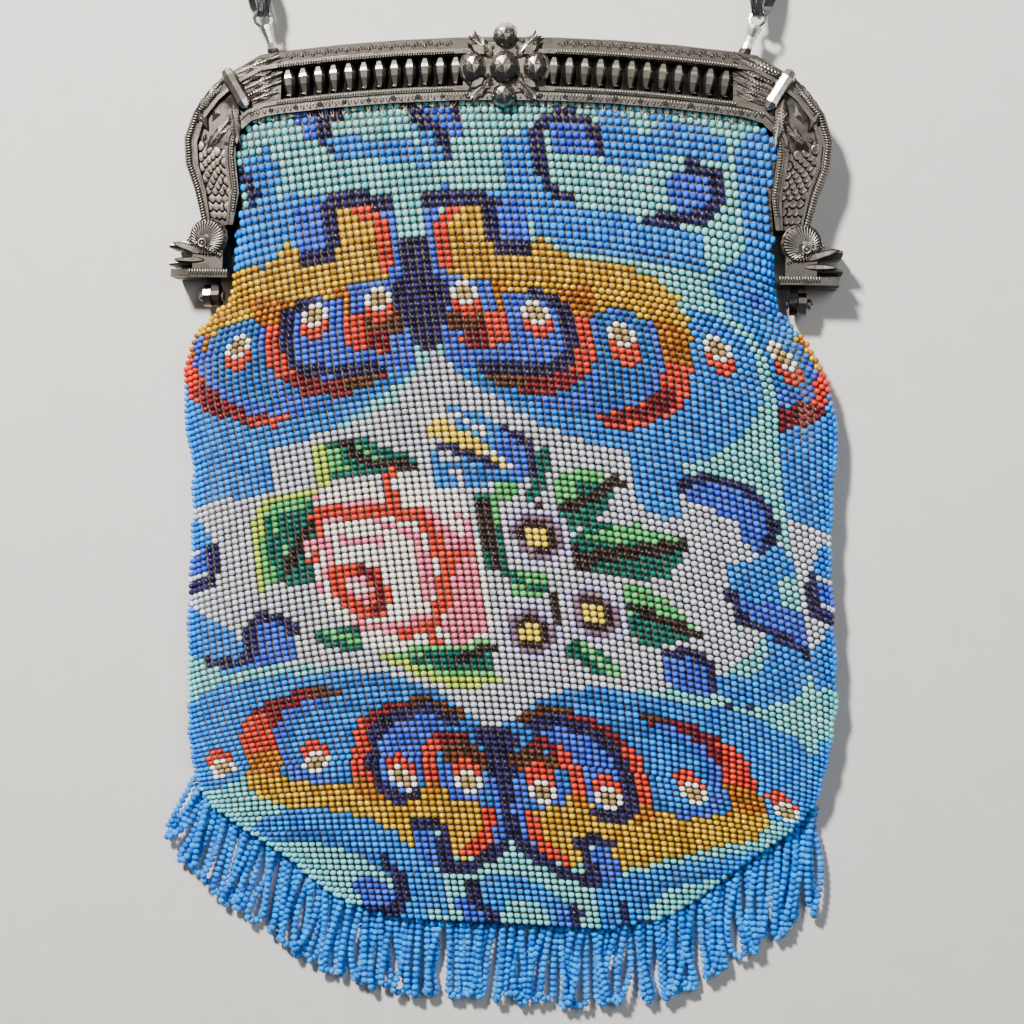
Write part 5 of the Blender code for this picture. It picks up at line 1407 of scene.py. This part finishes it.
def loop_path(top, down, side, length):
    """The line of one looped strand, from the edge and back to it."""
    start_turn = rng.uniform(*TURNS)
    twist = rng.choice(TWISTS)
    open_width = rng.uniform(*LOOP_WIDTHS)
    bow = rng.normal(0, LOOP_BOW)
    steps = np.linspace(0.0, 1.0, LOOP_STEPS)
    turn = start_turn + twist * steps
    width = LEG_SPACE + (open_width - LEG_SPACE) * steps**1.5
    pull = np.sqrt(np.clip((1 - steps) / LOOP_END, 0, 1))
    legs = []
    for leg in (-1, 1):
        across = leg * width * np.cos(turn) * pull + bow * np.sin(math.pi * steps)
        line = top + down * (steps * length)[:, None] + side * across[:, None]
        line[:, 2] += leg * LOOP_FLATNESS * width * np.sin(turn) * pull
        line[:, 2] = np.maximum(line[:, 2], FRINGE_BEAD_WIDTH / 2)
        legs.append(line)
    return np.vstack([legs[0], legs[1][::-1][1:]])


def fringe_beads():
    """Places and axes of all the beads of the fringe."""
    lengths = along(edge)
    places = []
    axes = []
    for number in range(FRINGE_LOOPS):
        share = (number + 0.5) / FRINGE_LOOPS
        top = walk(edge, lengths, [share * lengths[-1]])[0]
        lean = math.radians(hang_value(share, 2) + rng.normal(0, LEAN_SPREAD))
        down = np.array([math.sin(lean), -math.cos(lean), 0.0])
        side = np.array([math.cos(lean), math.sin(lean), 0.0])
        length = hang_value(share, 1) * FRINGE_LENGTH * rng.uniform(*LENGTH_SPREAD)
        line = loop_path(top, down, side, length)
        far = along(line)
        wanted = np.arange(FRINGE_BEAD_STEP / 2, far[-1], FRINGE_BEAD_STEP)
        way = unit(heading(line, far, wanted, FRINGE_WAY_REACH))
        flat = unit(np.cross(way, [0.0, 0.0, 1.0]))
        out = np.cross(flat, way)
        places.append(walk(line, far, wanted))
        axes.append(np.stack([
            flat * FRINGE_BEAD_WIDTH, out * FRINGE_BEAD_WIDTH, way * FRINGE_BEAD_STEP], 1))
    return np.concatenate(places), np.concatenate(axes)


fringe_blue = bead_material("fringe_blue", (0, 152, 240), (0, 98, 196))
fringe_at, fringe_axes = fringe_beads()
fringe_item = string_beads(
    "fringe_strands", bead, fringe_at, fringe_axes, fringe_blue)
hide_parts("fringe")
print("Fringe beads:", len(fringe_at), "triangles:", triangles(fringe_item.data))

# %% [markdown]
# The frame is cast and chased silver. Its ornament is small relief that
# repeats: ribbed wires, punched rings, faceted lozenges, leaves and scales.
# Each kind is modelled once, and the copies are set down on the frame's solid,
# whose height is found by dropping a line on it. How low a point lies in its
# own piece is kept as "hollow", where the silver is darker, as painted shade
# and as tarnish.

# %% Places on the frame
RAIL_RADIUS = 0.42
RAIL_END = 0.0547
# The right arm from its top to its foot: a point of its outer edge, the way
# across the arm in degrees, and how wide it is there
ARM = np.array((
    (0.05998, 0.00309, -97.6, 0.0151),
    (0.0665, -0.00077, -110.8, 0.0133),
    (0.0719, -0.0054, -127.1, 0.0127),
    (0.0763, -0.01079, -144.8, 0.0133),
    (0.0785, -0.01728, -160.3, 0.0139),
    (0.0780, -0.02352, -171.3, 0.0132),
    (0.0756, -0.0298, -176.5, 0.0113),
    (0.07317, -0.0385, -180.0, 0.0076),
))
front_tree = mesh_tree(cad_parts["front_frame"].data)


def rail_at(x, level):
    return x, level - x * x / (2 * RAIL_RADIUS)


def arm_at(station, across):
    """A place on the right arm: 0 to 7 along it, 0 outside to 1 inside."""
    x, y, angle, width = (np.interp(station, range(len(ARM)), line) for line in ARM.T)
    angle = math.radians(angle)
    reach = width * across
    return x + reach * math.cos(angle), y + reach * math.sin(angle)


def mirrored(rows):
    """Rows of x, y, angle, width, length and height, on both sides."""
    return list(rows) + [(-x, y, 180.0 - angle, *rest) for x, y, angle, *rest in rows]


def rail_row(places, level, width, length, height):
    """Rows for the right half of the rail, all square to its bow."""
    return [
        (*rail_at(x, level), 90.0 - math.degrees(x / RAIL_RADIUS), width, length, height)
        for x in places
    ]


def relief(name, pattern, places, axes, look):
    """Copies a pattern into one piece that keeps how low its points lie."""
    item = copies(name, pattern, places, axes)
    add_values(item.data, "hollow", np.tile(pattern.hollow, len(places)))
    settle(item, "purse", look)
    print(f"{name}: {len(places)} copies, {triangles(item.data)} triangles")


def lay_relief(name, pattern, rows, look, lift=0.0):
    """Sets copies of a pattern down on the frame. The angle is the way that
    the pattern's own Y points, and all sizes are in millimetres."""
    places = []
    axes = []
    for x, y, angle, width, length, height in rows:
        face = drop_line(front_tree, x, y)[0]
        if face is None:
            continue
        a = math.radians(angle)
        places.append((x, y, face.z + lift))
        axes.append((
            (math.sin(a) * width * MM, -math.cos(a) * width * MM, 0.0),
            (math.cos(a) * length * MM, math.sin(a) * length * MM, 0.0),
            (0.0, 0.0, height * MM)))
    relief(name, pattern, places, axes, look)


print("Middle of the arm in mm:", in_mm(arm_at(4, 0.5)))

# %% [markdown]
# Every pattern is about one unit across, and the rows of numbers below give
# its real sizes in millimetres. The cut stones start as balls of few faces and
# are shaded flat, so that each face catches the light alone.

# %% Ribs, stones and points
SINK = -0.2


def turn(degrees, axis):
    bpy.ops.transform.rotate(
        value=math.radians(degrees), orient_axis=axis, center_override=(0, 0, 0))


def sunk_pattern(smooth=False):
    """Takes the piece being modelled, cuts its lower half off and keeps it."""
    edit_all()
    bpy.ops.mesh.bisect(
        plane_co=(0, 0, SINK), plane_no=(0, 0, 1), clear_inner=True, use_fill=True)
    bpy.ops.mesh.select_all(action="SELECT")
    bpy.ops.mesh.normals_make_consistent(inside=False)
    bpy.ops.object.mode_set(mode="OBJECT")
    return Pattern(bpy.context.object, smooth)


def rib_pattern():
    """A rounded rib that lies across a wire."""
    ball(8, 4)
    return sunk_pattern(smooth=True)


def cut_stone_pattern():
    """A rose cut: a low dome of flat triangles, painted darker at its foot as shade and tarnish."""
    deselect()
    bpy.ops.mesh.primitive_ico_sphere_add(subdivisions=2, radius=0.5)
    pattern = sunk_pattern()
    # The foot of the dome gets painted shade where it meets the frame, together with tarnish.
    pattern.hollow = np.clip(0.55 - 1.6 * pattern.points[:, 2], 0, 1)
    return pattern


def lozenge_pattern():
    """A long pointed stud with six sides, widest near its upper end."""
    item = ball(6, 6)
    edit_all()
    turn(90, "X")
    turn(30, "Y")
    bpy.ops.object.mode_set(mode="OBJECT")
    for vertex in item.data.vertices:
        y = vertex.co.y
        vertex.co.y = 0.36 * (2 * y) ** 1.8 if y > 0 else -0.64 * (-2 * y) ** 1.4
    item.data.update()
    return sunk_pattern()


def bar_pattern():
    """A blunt faceted bar along Y with three swellings."""
    item = ball(8, 7)
    edit_all()
    turn(90, "X")
    bpy.ops.object.mode_set(mode="OBJECT")
    for vertex in item.data.vertices:
        reach = math.hypot(vertex.co.x, vertex.co.z)
        grow = (reach / 0.5) ** -0.6 if reach > 0.01 else 1.0
        wave = 1.0 + 0.12 * math.cos(6 * math.pi * vertex.co.y)
        vertex.co.x *= grow * wave
        vertex.co.z *= grow * wave
    item.data.update()
    return sunk_pattern()


def pyramid_pattern():
    """A four-sided point."""
    deselect()
    bpy.ops.mesh.primitive_cone_add(
        vertices=4, radius1=0.5, radius2=0.06, depth=1.0, location=(0, 0, 0.3))
    return sunk_pattern()


rib = rib_pattern()
stone = cut_stone_pattern()
lozenge = lozenge_pattern()
bar = bar_pattern()
pyramid = pyramid_pattern()
print("Faces of the cut patterns:", [len(p.sizes) for p in (rib, stone, lozenge, bar, pyramid)])

# %% Rings and arcs
def ring_pattern():
    """A punched ring with a dot in its middle."""
    ring = hoop(14, 0.40, 0.13)
    dot = ball(8, 5, 0.20)
    ring.select_set(True)
    dot.select_set(True)
    bpy.context.view_layer.objects.active = ring
    bpy.ops.object.join()
    return Pattern(ring)


def arc_pattern():
    """Half a ring that opens towards -Y."""
    item = hoop(20, 0.5, 0.085)
    edit_all()
    bpy.ops.mesh.bisect(
        plane_co=(0, -0.1, 0), plane_no=(0, 1, 0), clear_inner=True, use_fill=True)
    bpy.ops.object.mode_set(mode="OBJECT")
    return Pattern(item)


ring = ring_pattern()
arc = arc_pattern()
print("Faces of a ring and an arc:", len(ring.sizes), len(arc.sizes))

# %% Leaves and scales
LEAF_VEINS = 10
SCALE_TAPER = 0.45


def leaf_pattern():
    """A pointed leaf along Y with a middle rib and slanting veins."""
    deselect()
    bpy.ops.mesh.primitive_grid_add(x_subdivisions=6, y_subdivisions=4 * LEAF_VEINS, size=1.0)
    item = bpy.context.object
    for vertex in item.data.vertices:
        share = vertex.co.y + 0.5
        across = abs(vertex.co.x) * 2
        vein = math.cos(2 * math.pi * (LEAF_VEINS * share - 1.1 * across))
        width = math.sin(math.pi * min(1.0, 0.06 + share * 0.94)) ** 0.75
        middle_rib = 0.27 * max(0.0, 1 - 3 * across)
        vertex.co.x *= max(width, 0.04)
        vertex.co.z = 0.40 + 0.13 * vein + middle_rib - 0.30 * across**4
    item.data.update()
    solid = item.modifiers.new("wall", "SOLIDIFY")
    solid.thickness = 0.6
    solid.offset = -1.0
    bpy.ops.object.modifier_apply(modifier="wall")
    pattern = Pattern(item, smooth=False)
    pattern.hollow = np.clip((0.50 - pattern.points[:, 2]) / 0.25, 0, 1)
    return pattern


def scale_pattern():
    """A fish scale: a pointed disc, raised at its end, with a middle rib."""
    item = ball(12, 5)
    for vertex in item.data.vertices:
        point = max(0.0, -2 * vertex.co.y)
        vertex.co.x *= 1.0 - SCALE_TAPER * point
        ridge = 0.14 if abs(vertex.co.x) < 0.06 else 0.0
        vertex.co.z = vertex.co.z * 0.30 + 0.45 * (0.5 - vertex.co.y) + ridge
    pattern = Pattern(item)
    x, y = pattern.points[:, 0], pattern.points[:, 1]
    rim = np.hypot(x / (1.0 - SCALE_TAPER * np.maximum(0.0, -2 * y)), y)
    pattern.hollow = np.clip((rim - 0.33) / 0.10, 0, 1)
    return pattern


leaf = leaf_pattern()
scale = scale_pattern()
print("Faces of a leaf and a scale:", len(leaf.sizes), len(scale.sizes))

# %% [markdown]
# Two ribbed wires run along the rail, above and below the pierced window, and
# a rope edge runs down the outside of each arm. They are rows of small ribs
# set close together across the way of the wire.

# %% Ribbed wires and rope edges
RIB_PITCH = 0.00062
CLASP_HALF = 0.0125
WIRE_LEVELS = (0.0039, -0.0050)
ROPE_PITCH = 0.00066
ROPE_SLANT = 75.0
ROPE_WAY_REACH = 0.001
# Place across the arm, first and last station, and the ribs' length in mm
ROPES = ((0.085, 1.9, 6.95, 1.9), (0.93, 2.4, 6.6, 1.2))


def rope_ribs():
    """Ribs at an even pitch along the arm's two edges."""
    rows = []
    for across, low, high, length in ROPES:
        line = np.array([(*arm_at(t, across), 0.0) for t in np.linspace(low, high, 60)])
        far = along(line)
        wanted = np.arange(0.0, far[-1], ROPE_PITCH)
        ways = heading(line, far, wanted, ROPE_WAY_REACH)
        for (x, y, _), (dx, dy, _) in zip(walk(line, far, wanted), ways):
            rows.append((x, y, math.degrees(math.atan2(dy, dx)) + ROPE_SLANT, 0.56, length, 0.95))
    return mirrored(rows)


wire_places = np.arange(CLASP_HALF, RAIL_END + 0.001, RIB_PITCH)
wire_ribs = [
    row for level in WIRE_LEVELS for row in rail_row(wire_places, level, 0.52, 1.15, 0.62)]
lay_relief("ribbed_wires", rib, mirrored(wire_ribs), relief_silver)
lay_relief("rope_edges", rib, rope_ribs(), relief_silver)

# %% [markdown]
# Between the upper wire and the rim runs a band that is punched with small
# rings, each under an arc. The real ones are dents. Here they are thin rings,
# painted dark as the shade and tarnish inside a dent, that stand on the band,
# with a bright dot in the middle of each.

# %% Punched band
PUNCH_LEVEL = 0.00575
punches = np.arange(0.0140, RAIL_END - 0.0005, 0.00274)
for name, pattern, size, height, level, look in (
    ("punched_rings", ring, 1.15, 0.5, PUNCH_LEVEL, dent_shade_silver),
    ("punched_dots", rib, 0.50, 0.7, PUNCH_LEVEL, relief_silver),
    ("punched_arcs", arc, 2.15, 0.9, PUNCH_LEVEL + 0.0001, dent_shade_silver),
):
    lay_relief(name, pattern, mirrored(rail_row(punches, level, size, size, height)), look)

# %% [markdown]
# The window holds twelve spindles on each side. Each one is a bright faceted
# lozenge, widest near its top, that stands on a small collar.

# %% Spindle lozenges
SPINDLES = 12
WINDOW_START = 0.010
SPINDLE_PITCH = (RAIL_END - WINDOW_START) / SPINDLES
spindle_places = [WINDOW_START + SPINDLE_PITCH * (number + 0.5) for number in range(SPINDLES)]
for name, pattern, level, sizes, lift in (
    ("spindle_stones", lozenge, 0.0006, (3.3, 7.2, 3.2), -0.0002),
    ("spindle_collars", rib, -0.0034, (2.0, 0.6, 1.6), 0.0001),
):
    rows = mirrored(rail_row(spindle_places, level, *sizes))
    lay_relief(name, pattern, rows, relief_silver, lift)

# %% [markdown]
# The clasp is a cross of five domes cut like roses. Each dome gets a cover of
# flat triangles that is a little larger than the smooth one below it.

# %% Clasp domes
COVER_GROWTH = 1.03
COVER_LIFT = 0.00012
# Middle, width, height and rise in millimetres
DOMES = (
    (0.0, 0.0, 7.4, 8.3, 4.0),
    (-7.37, 0.0, 5.8, 7.8, 3.4),
    (7.37, 0.0, 5.8, 7.8, 3.4),
    (0.0, 7.46, 5.95, 5.95, 3.2),
    (0.0, -6.72, 5.95, 5.95, 3.2),
)


def dome_covers():
    places = []
    axes = []
    for x, y, width, height, rise in DOMES:
        top = drop_line(front_tree, x * MM, y * MM)[0].z + COVER_LIFT
        places.append((x * MM, y * MM, top - rise * MM))
        axes.append((
            (width * COVER_GROWTH * MM, 0, 0), (0, height * COVER_GROWTH * MM, 0),
            (0, 0, 2 * rise * MM)))
    relief("clasp_stones", stone, places, axes, relief_silver)


dome_covers()
lay_relief("clasp_beads", rib, [
    (x * MM, y * MM, 0.0, 0.9, 0.9, 0.8) for x in (-3.9, 3.9) for y in (4.6, -4.4)], relief_silver)
lay_relief("clasp_leaves", leaf, [
    (sx * 5.6 * MM, sy * 5.2 * MM, math.degrees(math.atan2(sy * 0.9, sx * 0.8)), 3.2, 4.6, 0.7)
    for sx in (-1, 1) for sy in (-1, 1)], relief_silver, 0.0001)

# %% [markdown]
# The shoulders are chased with leaves that fan out from a faceted bar, with a
# star of four points below it, and the arms are covered with fish scales, down
# to a bird's head with a beak.

# %% Leaves, diamonds and scales
# Foot and tip of each leaf of the right shoulder, and its width, in mm
LEAVES = (
    (65.6, -1.6, 57.2, 1.9, 2.4), (64.6, -3.4, 56.6, 0.0, 2.2), (63.6, -5.4, 56.2, -2.0, 2.2),
    (62.8, -7.0, 56.2, -4.1, 2.0), (61.9, -8.3, 56.8, -6.4, 1.6),
    (74.2, -9.6, 69.4, -3.6, 2.2), (66.2, -9.8, 65.2, -17.0, 2.8), (71.4, -18.2, 67.6, -13.4, 2.4),
)
# Middle, angle, width and length of each point of the star, in mm
STAR = (
    (70.5, -11.0, 114, 4.4, 9.8), (74.0, -12.7, 61, 3.2, 6.4), (73.3, -17.2, -72, 2.4, 4.2),
    (70.3, -17.2, -143, 2.4, 5.0),
)
SCALE_ROWS = 12
FIRST_STATION = 4.10
STATION_STEP = 0.235
SCALE_START = 0.31
SCALE_STEP = 0.155
SCALE_SHIFT = 0.078
SCALE_END = 0.82


def leaf_rows():
    rows = []
    for x1, y1, x2, y2, width in LEAVES:
        angle = math.degrees(math.atan2(y2 - y1, x2 - x1))
        length = math.hypot(x2 - x1, y2 - y1)
        rows.append(((x1 + x2) / 2 * MM, (y1 + y2) / 2 * MM, angle, width, length, 0.62))
    return mirrored(rows)


def scale_rows():
    """Rows of scales down the arm, every other row moved half a scale."""
    rows = []
    for step in range(SCALE_ROWS):
        station = FIRST_STATION + step * STATION_STEP
        for k in range(4):
            across = SCALE_START + SCALE_STEP * k + (SCALE_SHIFT if step % 2 else 0.0)
            if across > SCALE_END:
                continue
            x, y = arm_at(station, across)
            x2, y2 = arm_at(station + 0.1, across)
            rows.append((x, y, math.degrees(math.atan2(y - y2, x - x2)), 2.9, 3.3, 0.55))
    return mirrored(rows)


star_rows = mirrored([(x * MM, y * MM, *rest, 0.9) for x, y, *rest in STAR])
bar_rows = mirrored([(0.0656, -0.0054, -121.0, 3.7, 11.4, 2.6)])
lay_relief("shoulder_leaves", leaf, leaf_rows(), relief_silver, 0.00005)
lay_relief("shoulder_bars", bar, bar_rows, cap_silver)
lay_relief("shoulder_stars", pyramid, star_rows, relief_silver)
lay_relief("arm_scales", scale, scale_rows(), scale_silver, -0.0001)

# %% [markdown]
# Each arm ends in a bird's head. Flutes spread from its eye like feathers, a
# rim of small rings frames it, and two long lozenges make the open beak.

# %% Bird heads
HEAD = (0.07165, -0.0416)
HEAD_EYE = (0.0729, -0.0431)
HEAD_RADIUS = 0.0047
HEAD_FLUTES = 34
FLUTE_MIDDLE = 0.60
FLUTE_LENGTH = 0.78
RIM_SHARE = 0.86


def head_rows():
    """Flutes that spread from the eye to the rim of the head."""
    rows = []
    for number in range(HEAD_FLUTES):
        a = 2 * math.pi * number / HEAD_FLUTES
        dx = HEAD[0] + HEAD_RADIUS * math.cos(a) - HEAD_EYE[0]
        dy = HEAD[1] + HEAD_RADIUS * math.sin(a) - HEAD_EYE[1]
        length = FLUTE_LENGTH * math.hypot(dx, dy) / MM
        rows.append((HEAD_EYE[0] + dx * FLUTE_MIDDLE, HEAD_EYE[1] + dy * FLUTE_MIDDLE,
                     math.degrees(math.atan2(dy, dx)), 0.50, length, 0.42))
    return mirrored(rows)


def rim_ring_rows():
    reach = RIM_SHARE * HEAD_RADIUS
    return mirrored([
        (HEAD[0] + reach * math.cos(a), HEAD[1] + reach * math.sin(a), 90.0, 0.95, 0.95, 0.9)
        for a in np.radians(np.arange(85, 260, 19))])


def brow_rows():
    """Ribs of the brow bar and of the hinge plate."""
    brow = [(0.0680 + 0.0088 * share, -0.0463 + 0.0042 * share, 115.0, 0.52, 1.7, 0.9)
            for share in np.linspace(0, 1, 16)]
    plate = [(x, -0.0500, 90.0, 0.5, 2.0, 0.7) for x in np.arange(0.0662, 0.0765, 0.00066)]
    return mirrored(brow + plate)


beak_rows = mirrored([
    (0.0752, -0.0446, 197.0, 2.3, 9.0, 1.6), (0.0752, -0.0471, 180.0, 1.7, 8.0, 1.4)])
eye_rows = mirrored([(*HEAD_EYE, 90.0, 2.3, 2.3, 2.0)])
lay_relief("head_flutes", rib, head_rows(), relief_silver)
lay_relief("head_eyes", ring, eye_rows, relief_silver, 0.0002)
lay_relief("head_rings", ring, rim_ring_rows(), dent_shade_silver)
lay_relief("brow_ribs", rib, brow_rows(), relief_silver)
lay_relief("beaks", lozenge, beak_rows, relief_silver)

# %% [markdown]
# Along the lower edge of the rail runs a flange with a fine hatched face, small
# pointed scallops, and the holes that the bag is sewn to with thread. A hole
# in the solid would be too small to see into, so it is a low dot, painted dark
# as the shade inside a hole.

# %% Flange and sewing holes
FLANGE_LEVEL = -0.0067
FLANGE_END = 0.0625
SCALLOP_LEVEL = -0.0073
HOLE_PITCH = 0.0060
# Middle of each hole round the clasp, in mm
CLASP_HOLES = (
    (-2.9, 4.6), (2.9, 4.7), (4.0, 2.6), (-3.9, -2.0), (4.0, -1.9), (-2.9, -4.1), (2.9, -4.1))


def flange_rows(first, pitch, level, *sizes):
    return mirrored(rail_row(np.arange(first, FLANGE_END, pitch), level, *sizes))


# Holes are low dots painted near black, as the shade inside them.
hole_shade, _ = grained_material(
    "hole_shade", 900.0, (0.004, 0.004, 0.004), (0.02, 0.016, 0.014), 0.9)
hatch_rows = flange_rows(0.0082, 0.00078, FLANGE_LEVEL + 0.0002, 0.34, 1.5, 0.45)
scallop_rows = flange_rows(0.0008, 0.0016, SCALLOP_LEVEL, 1.5, 1.5, 0.7)
hole_rows = flange_rows(0.0088, HOLE_PITCH, FLANGE_LEVEL, 1.45, 1.45, 0.55)
clasp_hole_rows = [(x * MM, y * MM, 90.0, 1.1, 1.1, 0.5) for x, y in CLASP_HOLES]
lay_relief("flange_hatch", rib, hatch_rows, relief_silver)
lay_relief("flange_scallops", pyramid, scallop_rows, relief_silver)
lay_relief("sewing_holes", rib, hole_rows, hole_shade)
lay_relief("clasp_holes", rib, clasp_hole_rows, hole_shade)
lay_relief("arm_holes", rib, mirrored([(0.0677, -0.0188, 90.0, 1.1, 1.1, 0.5)]), hole_shade)

# %% [markdown]
# The bag is sewn on with a tan thread and a grey one. A stitch could be a
# curve with a round bevel, but a bent ring looks the same and has fewer faces.
# Each one leans its own way, as in hand sewing.

# %% Stitches
STITCH_LEVEL = FLANGE_LEVEL - 0.0014
STITCH_HEIGHT = 0.0086
STITCH_LENGTHS = (0.0022, 0.0034)
STITCH_LEAN = 0.5
STITCH_END = 0.0600


def thread_material(name, pale, deep):
    material, grain = grained_material(name, 2600.0, light_value(pale), light_value(deep), 0.8)
    bump(material, grain, 0.0002, 0.8)
    return material


def thread_loops(name, pattern, look, first):
    """Bent stitches from the holes down to the first row of beads."""
    places = []
    axes = []
    for x in np.arange(first - STITCH_END, STITCH_END, HOLE_PITCH / 2):
        lean = rng.normal(0, STITCH_LEAN)
        long = rng.uniform(*STITCH_LENGTHS)
        places.append((*rail_at(x, STITCH_LEVEL), STITCH_HEIGHT))
        axes.append((
            (0.0007 * math.cos(lean), 0.0007 * math.sin(lean), 0.0),
            (-long * math.sin(lean), long * math.cos(lean), -0.0008),
            (0.0, 0.0005, 0.0018)))
    item = settle(copies(name, pattern, places, axes), "purse", look)
    print(item.name, triangles(item.data))


tan_thread = thread_material("tan_thread", (214, 184, 136), (150, 118, 78))
grey_thread = thread_material("grey_thread", (92, 88, 86), (44, 40, 40))
stitch = Pattern(hoop(16, 0.5, 0.09))
thread_loops("stitches_1", stitch, tan_thread, 0.0)
thread_loops("stitches_2", stitch, grey_thread, 0.0015)

# %% [markdown]
# The chain's oval links are reeded. A link is one plain solid, so three thin
# hoops are laid round it, one in its middle and two nearer its faces. Their
# place, turn and size are measured on the link's own points.

# %% Chain link reeds
REED_PLACES = (-0.30, 0.0, 0.30)
REED_TAPER = 0.25
REED_SIZES = (0.985, 0.96, 1.2)


def link_reeds():
    places = []
    axes = []
    for name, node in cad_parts.items():
        if not name.startswith("chain_link"):
            continue
        points = np.array([v.co for v in node.data.vertices])
        middle = (points.min(0) + points.max(0)) / 2
        offset = points - points.mean(0)
        ways = np.linalg.svd(offset, full_matrices=False)[2]
        spans = [np.ptp(offset @ way) for way in ways]
        for share in REED_PLACES:
            places.append(middle + ways[2] * spans[2] * share)
            grow = 1.0 - REED_TAPER * abs(share)
            axes.append([
                way * span * size * taper
                for way, span, size, taper in zip(ways, spans, REED_SIZES, (grow, grow, 1.0))])
    item = copies("link_reeds", Pattern(hoop(18, 0.5, 0.045)), places, axes)
    settle(item, "purse", chain_silver)
    print("Link reeds:", len(places), triangles(item.data))


link_reeds()

# %% [markdown]
# The purse lies on a plain pale floor, which belongs to the stage and not to
# the purse. It is a little below the lowest solid, so that no faces meet.

# %% Floor
FLOOR_SIZE = 6.0
FLOOR_LEVEL = -0.0002


def add_floor():
    deselect()
    bpy.ops.mesh.primitive_plane_add(size=FLOOR_SIZE, location=(0, 0, FLOOR_LEVEL))
    floor = bpy.context.object
    floor.name = "floor"
    material, _ = grained_material("pale_floor", 140.0, (0.60, 0.58, 0.55), (0.66, 0.64, 0.61), 0.7)
    floor.data.materials.append(material)


add_floor()
